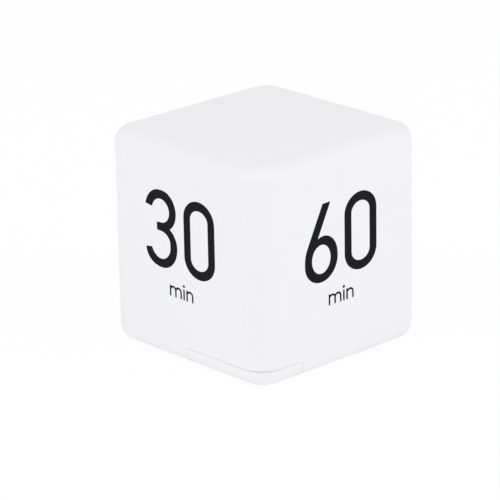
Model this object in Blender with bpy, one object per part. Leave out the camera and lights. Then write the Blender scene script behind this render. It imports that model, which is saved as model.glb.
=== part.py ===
"""Cube timer: a countdown timer in a white moulded cube, started by turning a numbered side up.

Metres, +Z up. The cube stands on its display face, and the middle of that face is the origin. The
blank face is up, the 30 minute side faces -Y and the 60 minute side faces +X. The battery door takes
the bottom corner between those two sides.
"""

import math

import bmesh
import bpy
from mathutils import Matrix, Vector

MM = 0.001
QUARTER = math.pi / 2
FULL_TURN = 2 * math.pi
SHARP_ANGLE = math.radians(35)  # faces that meet at more than this keep an edge

# Casing
SIDE = 63.5 * MM
UPRIGHT_RADIUS = 7.7 * MM  # rounding of the four upright edges
LEVEL_RADIUS = 4.5 * MM  # rounding of the top and bottom edges
WALL = 2.0 * MM
RIM_FLAT = 0.6 * MM  # level strip of the rim round the display plate
PLATE_THICKNESS = 2.0 * MM
LEDGE_OVERLAP = 1.2 * MM  # how far the ledge behind the plate reaches over its edge
LEDGE_THICKNESS = 1.5 * MM

# Clearances
SEAM = 0.3 * MM  # between two mouldings that meet outside
PLAY = 0.3 * MM  # between a piece and its seat
OVERRUN = 1.0 * MM  # how far a cut runs past the material

# Battery door
DOOR_END = 2.85 * MM  # from the well's end to the seam
DOOR_EDGE = 0.15 * MM  # from the well's back to the seam
DOOR_HEIGHT = 5.3 * MM  # of its seam above the base
DOOR_WALL = 1.8 * MM
DOOR_RECESS = 0.1 * MM  # its underside above the rim
DOOR_PLAN_RADIUS = 1.5 * MM  # rounding of its inner corner
DOOR_TOP_RADIUS = 1.2 * MM  # rounding of the seam's upper corners
TONGUE_WIDTH = 5.0 * MM
TONGUE_THICKNESS = 1.2 * MM
TONGUE_REACH = 1.8 * MM
TONGUE_ROOT = 1.7 * MM
TONGUE_INSET = 0.2 * MM
TONGUE_SPACING = 8.4 * MM
GRIP_COUNT = 3
GRIP_LENGTH = 9.0 * MM
GRIP_WIDTH = 0.8 * MM
GRIP_PITCH = 1.7 * MM
GRIP_DEPTH = 0.4 * MM

# Cells and their well
CELL_RADIUS = 5.25 * MM  # of a AAA cell, which comes out 44.5 mm long
BUTTON_RADIUS = 1.9 * MM
BUTTON_HEIGHT = 0.8 * MM
CELL_EDGE = 0.5 * MM
CELL_GAP = 0.4 * MM  # between the two cells
CELL_PLAY = 0.35 * MM
WELL_WALL = 1.1 * MM
WELL_CORNER = 5.0 * MM
LEAD_ROOM = 9.0 * MM  # over the well, for the tails and leads
WELL_SETBACK = 3.6 * MM  # from the 60 minute side to the well
WELL_GAP = 0.35 * MM  # from the wall of the 30 minute side to the well
FLANGE_THICKNESS = 1.2 * MM
FLANGE_MARGIN = 0.5 * MM  # from the door's walls
EAR_RADIUS = 2.4 * MM
EAR_CORNER = 1.4 * MM
EAR_Y_OFFSET = 3.1 * MM  # screw centres behind the well
EAR_ONE_INSET = 0.4 * MM  # screw centres inside the well's ends
EAR_TWO_INSET = 5.4 * MM

# Contacts
SHEET = 0.3 * MM
CONTACT_SIZE = 9.0 * MM
CONTACT_CORNER = 1.0 * MM
DIMPLE_RADIUS = 2.2 * MM
TOP_DIMPLE = 0.6 * MM
TAIL_WIDTH = 2.2 * MM
TAIL_HEIGHT = 3.2 * MM  # above the well
BRIDGE_WIDTH = 9.0 * MM
PEG_RADIUS = 0.8 * MM
PEG_SPACING = 6.6 * MM
SPRING_WIRE = 0.25 * MM
SPRING_HEIGHT = 2.3 * MM  # of the one on the door
SPRING_BASE = 3.4 * MM
SPRING_TIP = 2.2 * MM
SPRING_TURNS = 3
SPRING_STEPS = 12  # points in a turn

# Board
BOARD_THICKNESS = 1.6 * MM
BOARD_MARGIN = 0.25 * MM  # inside the ledge
BOARD_POST_RADIUS = 2.2 * MM
BOARD_POST_INSET = 3.95 * MM  # centres inside the plate's edge
BOARD_POST_DROP = 2.75 * MM  # two centres below the display's middle
CUTOUT_MARGIN = 0.5 * MM  # round what stands in the board's cut-outs

# Screws
SHANK_RADIUS = 1.0 * MM
HOLE_PLAY = 0.3 * MM
HEAD_RADIUS = 1.9 * MM
HEAD_HEIGHT = 1.3 * MM
CROSS_LENGTH = 2.2 * MM
CROSS_WIDTH = 0.5 * MM
CROSS_DEPTH = 0.7 * MM
CASE_SHANK = 8.0 * MM
SHORT_SHANK = 3.6 * MM
CASE_SCREW_INSET = 4.75 * MM  # centres inside the plate's edge
CASE_POST_RADIUS = 3.2 * MM
CASE_BOSS_RADIUS = 3.4 * MM
CASE_BOSS_HEIGHT = 1.6 * MM  # above the plate
HEAD_BORE_DEPTH = 2.4 * MM
HEAD_BORE_PLAY = 0.4 * MM
RIB_THICKNESS = 1.2 * MM
RIB_LEVEL = 13.0 * MM
LINER = 0.8 * MM  # plastic left under a blind screw hole

# Display
DISPLAY_INSET = 6.45 * MM  # from the ledge to the display's frame
FRAME_GAP = 0.2 * MM  # from the screw bosses to the display's frame
PANEL_THICKNESS = 1.8 * MM
PANEL_END = 2.8 * MM  # of the panel hidden beside the opening
PANEL_EDGE = 2.55 * MM  # of the panel hidden above and below the opening
WINDOW_OVERLAP = 1.2 * MM
WINDOW_THICKNESS = 0.7 * MM
WINDOW_RECESS = 0.1 * MM
WINDOW_CORNER = 1.2 * MM
HOLDER_WALL = 0.9 * MM
ZEBRA_WIDTH = 1.6 * MM
CONTROLS_WIDTH = 9.0 * MM  # strip for switch and lamp, between the ears and the display's frame

# Lamp
LAMP_INSET = 4.85 * MM  # inside the plate's edge
LAMP_OFFSET = 5.0 * MM  # from the edge of the strip
LAMP_RADIUS = 2.5 * MM
LAMP_COLLAR = 0.4 * MM
LAMP_COLLAR_HEIGHT = 1.0 * MM
LAMP_RECESS = 0.4 * MM
LEG_SPACING = 2.54 * MM
LEG_SIZE = 0.5 * MM
LEG_END = 1.0 * MM  # above the board

# Sounder
SOUNDER_GAP = 1.8 * MM  # from its ring to the display's frame
SOUNDER_RADIUS = 6.0 * MM
SOUNDER_RING_WALL = 0.7 * MM
SOUNDER_STEP = 1.1 * MM  # width of the ledge under the disc
SOUNDER_STEP_HEIGHT = 0.6 * MM
SOUNDER_RING_HEIGHT = 1.8 * MM
CERAMIC_RADIUS = 4.3 * MM
CERAMIC_THICKNESS = 0.25 * MM
SOUND_HOLE_RADIUS = 0.75 * MM
SOUND_HOLE_CIRCLE = 3.2 * MM
SOUND_HOLES = 6
SOUND_WIRE_RADIUS = 0.4 * MM
SOUND_WIRE_LEAN = 1.1 * MM
sound_wire_rise_shares = (0.0, 0.25, 0.5, 1.0)  # of the way up to the board
sound_wire_lean_shares = (0.0, 0.0, 1.0, 1.0)  # of its lean

# Slide switch
SWITCH_OFFSET_X = 5.65 * MM  # from the well's end
SWITCH_OFFSET_Y = 2.9 * MM  # from the edge of the strip
SWITCH_TRAVEL = 2.5 * MM
POCKET_LENGTH = 11.6 * MM
POCKET_WIDTH = 5.6 * MM
POCKET_DEPTH = 1.0 * MM
POCKET_CORNER = 1.5 * MM
KNOB_LENGTH = 4.6 * MM
KNOB_WIDTH = 2.6 * MM
KNOB_RECESS = 0.3 * MM
KNOB_FLANGE_WIDTH = 4.4 * MM
KNOB_FLANGE_THICKNESS = 1.0 * MM
KNOB_RIDGES = 4
ridge_gap_share = 1 / 3  # of the ridges' pitch
RIDGE_DEPTH = 0.3 * MM
FORK_THICKNESS = 0.8 * MM
FORK_HEIGHT = 1.3 * MM  # from the knob's flange to the switch
LEVER_SIZE = 1.6 * MM
LEVER_DEPTH = 0.7 * MM  # into the switch
HOUSING_LENGTH = 8.6 * MM
HOUSING_WIDTH = 3.8 * MM
HOUSING_HEIGHT = 3.5 * MM

# Ball tilt switches
TILT_START = 3.6 * MM  # from the middle of the cross to a base
CAN_RADIUS = 2.6 * MM
CAN_WALL = 0.45 * MM
CAN_END = 0.5 * MM
BASE_THICKNESS = 1.5 * MM
PLUG_LENGTH = 0.8 * MM
BALL_TRAVEL = 2.4 * MM
BALL_RINGS = 8
TILT_LEG_SPACING = 2.4 * MM

# Parts on the board
BLOB_RADIUS = 5.0 * MM
BLOB_HEIGHT = 1.6 * MM
BLOB_OFFSET = 5.5 * MM  # centre behind the well
CRYSTAL_RADIUS = 1.5 * MM
CRYSTAL_LENGTH = 8.0 * MM
CRYSTAL_OFFSET = 5.8 * MM  # centre line behind the well
PARTS_ASIDE = 7.6 * MM  # coil and capacitor, from the middle of the tilt switches
PARTS_ABOVE = 10.3 * MM
COIL_RADIUS = 3.0 * MM
COIL_HEIGHT = 5.0 * MM
CAPACITOR_RADIUS = 2.5 * MM
CAPACITOR_HEIGHT = 7.0 * MM
TRANSISTOR_RADIUS = 2.3 * MM
TRANSISTOR_HEIGHT = 4.6 * MM
TRANSISTOR_ASIDE = 6.5 * MM
TRANSISTOR_BELOW = 5.7 * MM
RESISTORS = 3
RESISTOR_LENGTH = 3.2 * MM
RESISTOR_WIDTH = 1.6 * MM
RESISTOR_HEIGHT = 0.6 * MM
RESISTOR_ASIDE = 5.0 * MM
RESISTOR_ABOVE = 5.0 * MM
RESISTOR_PITCH = 4.0 * MM

# Leads from the cells
WIRE_RADIUS = 0.65 * MM
WIRE_BEND = 2.0 * MM
WIRE_STEPS = 5  # points in a bend
WIRE_BAND = 1.2 * MM  # from the well's top or wall to a lead's middle
WIRE_FOOT = 3.0 * MM  # how far a lead runs over the board

CORNER_STEPS = 8  # faces across a rounded upright edge
EDGE_STEPS = 5
ROUND_SIDES = 20
SMALL_SIDES = 12

half = SIDE / 2
plate_edge = half - LEVEL_RADIUS - RIM_FLAT - SEAM
plate_corner = UPRIGHT_RADIUS - LEVEL_RADIUS - RIM_FLAT - SEAM
ledge_level = PLATE_THICKNESS + PLAY
ledge_top = ledge_level + LEDGE_THICKNESS
throat_edge = plate_edge + SEAM - LEDGE_OVERLAP
door_floor = DOOR_RECESS + DOOR_WALL

well_inside = 2 * (CELL_RADIUS + CELL_PLAY)
cell_pitch = 2 * CELL_RADIUS + CELL_GAP
well_y0 = WALL + WELL_GAP - half
well_y1 = well_y0 + well_inside + 2 * WELL_WALL
well_x1 = half - WELL_SETBACK
well_x0 = well_x1 - well_inside - cell_pitch - 2 * WELL_WALL
door_x = well_x0 - DOOR_END
door_y = well_y1 + DOOR_EDGE
cell_y = (well_y0 + well_y1) / 2
cell_a_x = (well_x0 + well_x1 - cell_pitch) / 2
cell_b_x = cell_a_x + cell_pitch

bridge_level = door_floor + PLAY
flange_level = ledge_level + TONGUE_THICKNESS + PLAY
cell_a_level = flange_level
bridge_dimple = cell_a_level - PLAY - bridge_level - SHEET
door_spring_level = bridge_level + SHEET + PLAY
door_spring_top = door_spring_level + SPRING_HEIGHT
cell_b_level = door_spring_top + PLAY
well_top = SIDE - WALL - LEAD_ROOM
well_ceiling = well_top - WELL_WALL
contact_level = well_ceiling - PLAY - SHEET
cell_length = contact_level - TOP_DIMPLE - PLAY - cell_b_level
ear_y = well_y1 + EAR_Y_OFFSET
ear_places = ((well_x0 - EAR_ONE_INSET, ear_y), (well_x1 - EAR_TWO_INSET, ear_y))

case_screw_edge = plate_edge - CASE_SCREW_INSET
case_screw_places = (
    (-case_screw_edge, -case_screw_edge),
    (-case_screw_edge, case_screw_edge),
    (case_screw_edge, case_screw_edge),
)
boss_top = PLATE_THICKNESS + CASE_BOSS_HEIGHT
hole_radius = SHANK_RADIUS + HOLE_PLAY

controls_y = ear_y + EAR_RADIUS
frame_margin = HOLDER_WALL + PLAY
frame_x = case_screw_edge - CASE_BOSS_RADIUS - FRAME_GAP
frame_y0 = controls_y + CONTROLS_WIDTH
frame_y1 = throat_edge - DISPLAY_INSET
display_y = (frame_y0 + frame_y1) / 2
panel_length = 2 * (frame_x - frame_margin)
panel_height = frame_y1 - frame_y0 - 2 * frame_margin
opening_length = panel_length - 2 * PANEL_END
opening_height = panel_height - 2 * PANEL_EDGE
lamp_x = plate_edge - LAMP_INSET
lamp_y = controls_y + LAMP_OFFSET
switch_x = well_x0 + SWITCH_OFFSET_X
switch_y = controls_y + SWITCH_OFFSET_Y
knob_top = PLATE_THICKNESS + PLAY + KNOB_FLANGE_THICKNESS
housing_level = knob_top + FORK_HEIGHT
flange_half = KNOB_LENGTH / 2 + SWITCH_TRAVEL + PLAY
sounder_ring = SOUNDER_RADIUS + PLAY + SOUNDER_RING_WALL
sounder_x = (ear_places[0][0] - EAR_RADIUS - plate_edge) / 2
sounder_y = frame_y0 - SOUNDER_GAP - sounder_ring

board_edge = throat_edge - BOARD_MARGIN
board_level = housing_level + HOUSING_HEIGHT + PLAY
board_top = board_level + BOARD_THICKNESS
board_post_edge = plate_edge - BOARD_POST_INSET
board_post_places = (
    (-board_post_edge, display_y - BOARD_POST_DROP),
    (board_post_edge, display_y - BOARD_POST_DROP),
    ((door_x - case_screw_edge + CASE_BOSS_RADIUS) / 2, -board_post_edge),
)
tilt_y = (well_y1 + plate_edge) / 2


def clear_scene():
    """Empties the scene that the model is built in."""
    for item in list(bpy.data.objects):
        bpy.data.objects.remove(item, do_unlink=True)


def finish(name, color, roughness, metallic=0.0, alpha=1.0):
    """One material for each kind of piece."""
    made = bpy.data.materials.get(name)
    if made is None:
        made = bpy.data.materials.new(name)
        made.use_nodes = True
        shader = made.node_tree.nodes["Principled BSDF"]
        shader.inputs["Base Color"].default_value = (*color, 1.0)
        shader.inputs["Roughness"].default_value = roughness
        shader.inputs["Metallic"].default_value = metallic
        shader.inputs["Alpha"].default_value = alpha
    return made


def white_plastic():
    return finish("white_plastic", (0.87, 0.87, 0.88), 0.4)


def black_plastic():
    return finish("black_plastic", (0.03, 0.03, 0.035), 0.45)


def nickel():
    return finish("nickel", (0.62, 0.61, 0.58), 0.3, 1.0)


def brass():
    return finish("brass", (0.72, 0.53, 0.25), 0.35, 1.0)


def add_solid(name, mesh, material=None):
    """Puts a bmesh into the scene as a named object with smooth round faces."""
    data = bpy.data.meshes.new(name)
    mesh.to_mesh(data)
    mesh.free()
    data.shade_smooth()
    data.set_sharp_from_angle(angle=SHARP_ANGLE)
    item = bpy.data.objects.new(name, data)
    bpy.context.collection.objects.link(item)
    if material:
        data.materials.append(material)
    return item


def combine(body, mesh, operation):
    """Cuts a bmesh out of an object, or joins it on, or keeps what both fill."""
    tool = add_solid("tool", mesh)
    change = body.modifiers.new("change", "BOOLEAN")
    change.operation = operation
    change.object = tool
    evaluated = body.evaluated_get(bpy.context.evaluated_depsgraph_get())
    changed = bpy.data.meshes.new_from_object(evaluated)
    body.modifiers.clear()
    kept = list(body.data.materials)
    body.data = changed
    changed.name = body.name
    changed.materials.clear()
    for material in kept:
        changed.materials.append(material)
    changed.set_sharp_from_angle(angle=SHARP_ANGLE)
    bpy.data.objects.remove(tool, do_unlink=True)


def cut(body, *meshes):
    for mesh in meshes:
        combine(body, mesh, "DIFFERENCE")


def join(body, *meshes):
    for mesh in meshes:
        combine(body, mesh, "UNION")


def rounded_ring(x0, x1, y0, y1, z, radius, steps):
    """Points of a level rectangle with rounded corners, counter-clockwise from above."""
    if radius <= 0.0:
        return [Vector((x, y, z)) for x, y in ((x1, y0), (x1, y1), (x0, y1), (x0, y0))]
    points = []
    centres = (
        (x1 - radius, y0 + radius),
        (x1 - radius, y1 - radius),
        (x0 + radius, y1 - radius),
        (x0 + radius, y0 + radius),
    )
    for turn, (x, y) in enumerate(centres):
        for i in range(steps + 1):
            angle = QUARTER * (turn - 1 + i / steps)
            points.append(Vector((x + radius * math.cos(angle), y + radius * math.sin(angle), z)))
    return points


def loft(rings):
    """A closed mesh through rings of equally many points, capped at its two ends."""
    mesh = bmesh.new()
    loops = [[mesh.verts.new(point) for point in ring] for ring in rings]
    for lower, upper in zip(loops, loops[1:]):
        for i in range(len(lower)):
            j = (i + 1) % len(lower)
            mesh.faces.new((lower[i], lower[j], upper[j], upper[i]))
    mesh.faces.new(loops[0][::-1])
    mesh.faces.new(loops[-1])
    return mesh


def block(x0, x1, y0, y1, z0, z1, corner=0.0, top=0.0, bottom=0.0, steps=CORNER_STEPS):
    """A box with rounded upright edges and, where top or bottom is given, rounded level edges."""
    rings = []
    for i in range(EDGE_STEPS if bottom else 0):
        angle = QUARTER * i / EDGE_STEPS
        inset = bottom * (1 - math.sin(angle))
        rings.append((inset, z0 + bottom * (1 - math.cos(angle))))
    rings += [(0.0, z0 + bottom), (0.0, z1 - top)]
    for i in range(EDGE_STEPS if top else 0):
        angle = QUARTER * (1 - (i + 1) / EDGE_STEPS)
        inset = top * (1 - math.sin(angle))
        rings.append((inset, z1 - top * (1 - math.cos(angle))))
    return loft(
        [
            rounded_ring(x0 + inset, x1 - inset, y0 + inset, y1 - inset, z, corner - inset, steps)
            for inset, z in rings
        ]
    )


def centred_block(x, y, length, width, z0, z1, corner=0.0, steps=CORNER_STEPS):
    """A block centred on x and y."""
    return block(
        x - length / 2, x + length / 2, y - width / 2, y + width / 2, z0, z1, corner, steps=steps
    )


def turned(profile, sides=ROUND_SIDES):
    """Turns (radius, height) points about Z. The profile runs up its outer side."""
    mesh = bmesh.new()
    loops = []
    for radius, height in profile:
        count = sides if radius > 0.0 else 1
        loops.append(
            [
                mesh.verts.new(
                    (
                        radius * math.cos(FULL_TURN * i / sides),
                        radius * math.sin(FULL_TURN * i / sides),
                        height,
                    )
                )
                for i in range(count)
            ]
        )
    for lower, upper in zip(loops, loops[1:]):
        for i in range(sides):
            j = (i + 1) % sides
            around = [lower[i % len(lower)], lower[j % len(lower)]]
            around += [upper[j % len(upper)], upper[i % len(upper)]]
            mesh.faces.new(list(dict.fromkeys(around)))
    return mesh


def turned_at(x, y, z, profile, sides=ROUND_SIDES):
    """A turned piece standing at a place."""
    mesh = turned(profile, sides)
    mesh.transform(Matrix.Translation((x, y, z)))
    return mesh


def rod(x, y, z0, z1, radius, sides=ROUND_SIDES):
    """An upright cylinder."""
    return turned_at(x, y, 0.0, ((0.0, z0), (radius, z0), (radius, z1), (0.0, z1)), sides)


def tube(name, points, radius, resolution, material):
    """A round wire along points, with closed ends."""
    curve = bpy.data.curves.new(name, "CURVE")
    curve.dimensions = "3D"
    curve.bevel_depth = radius
    curve.bevel_resolution = resolution
    curve.use_fill_caps = True
    spline = curve.splines.new("POLY")
    spline.points.add(len(points) - 1)
    for slot, point in zip(spline.points, points):
        slot.co = (*point, 1.0)
    curve.materials.append(material)
    item = bpy.data.objects.new(name, curve)
    bpy.context.collection.objects.link(item)
    return item


def attach(items, runner):
    """Carries pieces on the empty that stands on their joint's axis."""
    bpy.context.view_layer.update()
    for item in items:
        item.parent = runner
        item.matrix_parent_inverse = runner.matrix_world.inverted()


def add_runner(name, place):
    """An empty on a joint's axis."""
    runner = bpy.data.objects.new(name, None)
    runner.empty_display_size = SEAM
    bpy.context.collection.objects.link(runner)
    runner.location = place
    return runner


def door_space(gap):
    """The corner that the door fills, smaller or larger by a gap on its seams."""
    return block(
        door_x - gap,
        half + LEVEL_RADIUS,
        -half - LEVEL_RADIUS,
        door_y + gap,
        -LEVEL_RADIUS,
        DOOR_HEIGHT + gap,
        DOOR_PLAN_RADIUS + gap,
        top=DOOR_TOP_RADIUS + gap,
        steps=EDGE_STEPS,
    )


def make_main_shell():
    """Five-sided casing, with its rim, ledge and three screw posts."""
    shell = add_solid(
        "main_shell",
        block(
            -half, half, -half, half, 0.0, SIDE, UPRIGHT_RADIUS, LEVEL_RADIUS, LEVEL_RADIUS
        ),
        white_plastic(),
    )
    inner = half - WALL
    cut(
        shell,
        block(
            -inner,
            inner,
            -inner,
            inner,
            ledge_top,
            SIDE - WALL,
            UPRIGHT_RADIUS - WALL,
            top=LEVEL_RADIUS - WALL,
        ),
        centred_block(
            0.0,
            0.0,
            2 * throat_edge,
            2 * throat_edge,
            -OVERRUN,
            ledge_top + OVERRUN,
            plate_corner,
            EDGE_STEPS,
        ),
        centred_block(
            0.0,
            0.0,
            2 * (plate_edge + SEAM),
            2 * (plate_edge + SEAM),
            -OVERRUN,
            ledge_level,
            plate_corner + SEAM,
            EDGE_STEPS,
        ),
        door_space(SEAM / 2),
    )
    post_level = boss_top + PLAY
    ceiling = SIDE - WALL / 2
    rib_top = SIDE - LEVEL_RADIUS
    reach = half - WALL / 2
    for x, y in case_screw_places:
        side_x = math.copysign(reach, x)
        side_y = math.copysign(reach, y)
        thick = RIB_THICKNESS / 2
        join(
            shell,
            rod(x, y, post_level, ceiling, CASE_POST_RADIUS, SMALL_SIDES),
            block(min(x, side_x), max(x, side_x), y - thick, y + thick, RIB_LEVEL, rib_top),
            block(x - thick, x + thick, min(y, side_y), max(y, side_y), RIB_LEVEL, rib_top),
        )
        hole_end = HEAD_BORE_DEPTH - PLAY + CASE_SHANK + OVERRUN
        cut(shell, rod(x, y, post_level - OVERRUN, hole_end, hole_radius, SMALL_SIDES))


def make_bottom_plate():
    """Display face: a flush plate with the posts and openings for what it carries."""
    plate = add_solid(
        "bottom_plate",
        centred_block(
            0.0, 0.0, 2 * plate_edge, 2 * plate_edge, 0.0, PLATE_THICKNESS, plate_corner, EDGE_STEPS
        ),
        white_plastic(),
    )
    sunk = PLATE_THICKNESS / 2
    for x, y in case_screw_places:
        join(plate, rod(x, y, sunk, boss_top, CASE_BOSS_RADIUS))
        cut(
            plate,
            rod(x, y, -OVERRUN, HEAD_BORE_DEPTH, HEAD_RADIUS + HEAD_BORE_PLAY),
            rod(x, y, sunk, boss_top + OVERRUN, hole_radius, SMALL_SIDES),
        )
    for x, y in board_post_places:
        join(plate, rod(x, y, sunk, board_level - PLAY, BOARD_POST_RADIUS))
        cut(plate, rod(x, y, PLATE_THICKNESS, board_level, hole_radius, SMALL_SIDES))
    for x, y in ear_places:
        join(plate, rod(x, y, sunk, flange_level - PLAY, BOARD_POST_RADIUS))
        cut(plate, rod(x, y, LINER, flange_level, hole_radius, SMALL_SIDES))
    seat = SOUNDER_RADIUS + PLAY
    ring_top = PLATE_THICKNESS + SOUNDER_RING_HEIGHT
    join(plate, rod(sounder_x, sounder_y, sunk, ring_top, sounder_ring))
    step_top = PLATE_THICKNESS + SOUNDER_STEP_HEIGHT
    cut(
        plate,
        rod(sounder_x, sounder_y, step_top, ring_top + OVERRUN, seat),
        rod(sounder_x, sounder_y, PLATE_THICKNESS, ring_top, seat - SOUNDER_STEP),
    )
    for x, y in sound_hole_places():
        cut(plate, rod(x, y, -OVERRUN, ring_top, SOUND_HOLE_RADIUS, SMALL_SIDES))
    rebate = WINDOW_RECESS + WINDOW_THICKNESS + PLAY
    outline = 2 * WINDOW_OVERLAP
    slot = KNOB_LENGTH + SWITCH_TRAVEL + 2 * PLAY
    cut(
        plate,
        centred_block(
            0.0,
            display_y,
            opening_length,
            opening_height,
            -OVERRUN,
            PLATE_THICKNESS + OVERRUN,
            WINDOW_CORNER,
            EDGE_STEPS,
        ),
        centred_block(
            0.0,
            display_y,
            opening_length + outline + 2 * PLAY,
            opening_height + outline + 2 * PLAY,
            -OVERRUN,
            rebate,
            WINDOW_CORNER + PLAY,
            EDGE_STEPS,
        ),
        rod(lamp_x, lamp_y, -OVERRUN, PLATE_THICKNESS + OVERRUN, LAMP_RADIUS + PLAY),
        centred_block(
            switch_x,
            switch_y,
            POCKET_LENGTH,
            POCKET_WIDTH,
            -OVERRUN,
            POCKET_DEPTH,
            POCKET_CORNER,
            EDGE_STEPS,
        ),
        centred_block(
            switch_x,
            switch_y,
            slot,
            KNOB_WIDTH + 2 * PLAY,
            -OVERRUN,
            PLATE_THICKNESS + OVERRUN,
        ),
        door_space(SEAM / 2),
    )


def sound_hole_places():
    """One hole in the middle and a ring of holes round it."""
    places = [(sounder_x, sounder_y)]
    for i in range(SOUND_HOLES):
        angle = FULL_TURN * i / SOUND_HOLES
        places.append(
            (
                sounder_x + SOUND_HOLE_CIRCLE * math.cos(angle),
                sounder_y + SOUND_HOLE_CIRCLE * math.sin(angle),
            )
        )
    return places


def make_battery_door():
    """Corner door: a floor and two low walls, with tongues, thumb grooves and contact pegs."""
    door = add_solid(
        "battery_door",
        block(
            -half,
            half,
            -half,
            half,
            DOOR_RECESS,
            SIDE,
            UPRIGHT_RADIUS,
            LEVEL_RADIUS,
            LEVEL_RADIUS,
        ),
        white_plastic(),
    )
    combine(door, door_space(-SEAM / 2), "INTERSECT")
    cut(
        door,
        block(
            door_x - UPRIGHT_RADIUS,
            half - DOOR_WALL,
            DOOR_WALL - half,
            door_y + UPRIGHT_RADIUS,
            door_floor,
            DOOR_HEIGHT + LEVEL_RADIUS,
            UPRIGHT_RADIUS - DOOR_WALL,
            bottom=LEVEL_RADIUS - DOOR_WALL,
        ),
    )
    edge = door_y - SEAM / 2
    middle = (cell_a_x + cell_b_x) / 2
    sunk = door_floor - DOOR_WALL / 2
    top = ledge_level + TONGUE_THICKNESS
    between_ears = (ear_places[0][0] + ear_places[1][0]) / 2
    for x in (between_ears - TONGUE_SPACING / 2, between_ears + TONGUE_SPACING / 2):
        left, right = x - TONGUE_WIDTH / 2, x + TONGUE_WIDTH / 2
        join(door, block(left, right, edge - TONGUE_ROOT, edge - TONGUE_INSET, sunk, top))
        start = edge - TONGUE_ROOT / 2
        join(door, block(left, right, start, edge + TONGUE_REACH, ledge_level, top))
    first = cell_y - GRIP_PITCH * (GRIP_COUNT - 1)
    for i in range(GRIP_COUNT):
        groove = centred_block(
            middle,
            first + GRIP_PITCH * i,
            GRIP_LENGTH,
            GRIP_WIDTH,
            -OVERRUN,
            DOOR_RECESS + GRIP_DEPTH,
        )
        cut(door, groove)
    peg_top = bridge_level + SHEET + PLAY
    for y in (cell_y - PEG_SPACING / 2, cell_y + PEG_SPACING / 2):
        join(door, rod(middle, y, sunk, peg_top, PEG_RADIUS, SMALL_SIDES))
    return door


def make_bridge_contact():
    """Sheet that joins the two cells in series, held on the door's pegs."""
    middle = (cell_a_x + cell_b_x) / 2
    bridge = add_solid(
        "bridge_contact",
        centred_block(
            middle,
            cell_y,
            cell_pitch + BRIDGE_WIDTH,
            BRIDGE_WIDTH,
            bridge_level,
            bridge_level + SHEET,
            CONTACT_CORNER,
            EDGE_STEPS,
        ),
        nickel(),
    )
    join(bridge, dimple(cell_a_x, bridge_level + SHEET / 2, SHEET / 2 + bridge_dimple))
    for y in (cell_y - PEG_SPACING / 2, cell_y + PEG_SPACING / 2):
        hole = rod(
            middle,
            y,
            bridge_level - OVERRUN,
            bridge_level + OVERRUN,
            PEG_RADIUS + PLAY,
            SMALL_SIDES,
        )
        cut(bridge, hole)
    return bridge


def dimple(x, z, height):
    """A pressed bump, narrower at its tip, pointing up or, for a negative height, down."""
    low, high = min(z, z + height), max(z, z + height)
    low_radius = DIMPLE_RADIUS if height > 0.0 else DIMPLE_RADIUS / 2
    high_radius = DIMPLE_RADIUS / 2 if height > 0.0 else DIMPLE_RADIUS
    profile = ((0.0, low), (low_radius, low), (high_radius, high), (0.0, high))
    return turned_at(x, cell_y, 0.0, profile)


def coil_spring(name, x, z0, z1, wide_end_up):
    """A cone-shaped contact spring of a few turns, standing between two heights."""
    points = []
    count = SPRING_TURNS * SPRING_STEPS
    climb = z1 - z0 - 2 * SPRING_WIRE
    for i in range(count + 1):
        share = i / count
        angle = FULL_TURN * SPRING_TURNS * share
        tip = 1 - share if wide_end_up else share
        radius = SPRING_BASE + (SPRING_TIP - SPRING_BASE) * tip
        height = z0 + SPRING_WIRE + climb * share
        points.append((x + radius * math.cos(angle), cell_y + radius * math.sin(angle), height))
    return tube(name, points, SPRING_WIRE, 1, nickel())


def make_battery_holder():
    """Well for two upright cells, with a flange round its mouth and two screw ears.

    A notch in its front lets the spring on the door slide out.
    """
    holder = add_solid(
        "battery_holder",
        block(
            well_x0,
            well_x1,
            well_y0,
            well_y1,
            flange_level + FLANGE_THICKNESS / 2,
            well_top,
            WELL_CORNER,
        ),
        white_plastic(),
    )
    flange_top = flange_level + FLANGE_THICKNESS
    margin = DOOR_WALL + FLANGE_MARGIN
    join(
        holder,
        block(
            door_x + FLANGE_MARGIN,
            half - margin,
            margin - half,
            well_y1,
            flange_level,
            flange_top,
            UPRIGHT_RADIUS - margin,
        ),
    )
    for x, y in ear_places:
        join(
            holder,
            block(
                x - EAR_RADIUS,
                x + EAR_RADIUS,
                well_y0 + WELL_CORNER,
                y + EAR_RADIUS,
                flange_level,
                flange_top,
                EAR_CORNER,
            ),
        )
        cut(
            holder,
            rod(x, y, flange_level - OVERRUN, flange_top + OVERRUN, hole_radius, SMALL_SIDES),
        )
    cut(
        holder,
        block(
            well_x0 + WELL_WALL,
            well_x1 - WELL_WALL,
            well_y0 + WELL_WALL,
            well_y1 - WELL_WALL,
            flange_level - OVERRUN,
            well_ceiling,
            WELL_CORNER - WELL_WALL,
        ),
    )
    notch_half = SPRING_BASE + SPRING_WIRE + PLAY
    spring_notch = block(
        cell_b_x - notch_half,
        cell_b_x + notch_half,
        well_y0 - OVERRUN,
        cell_y,
        flange_level - OVERRUN,
        door_spring_top + PLAY,
    )
    cut(holder, spring_notch)
    for x in (cell_a_x, cell_b_x):
        slot = centred_block(
            x,
            cell_y,
            TAIL_WIDTH + 2 * PLAY,
            SHEET + 2 * PLAY,
            well_ceiling - OVERRUN,
            well_top + OVERRUN,
        )
        cut(holder, slot)


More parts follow.
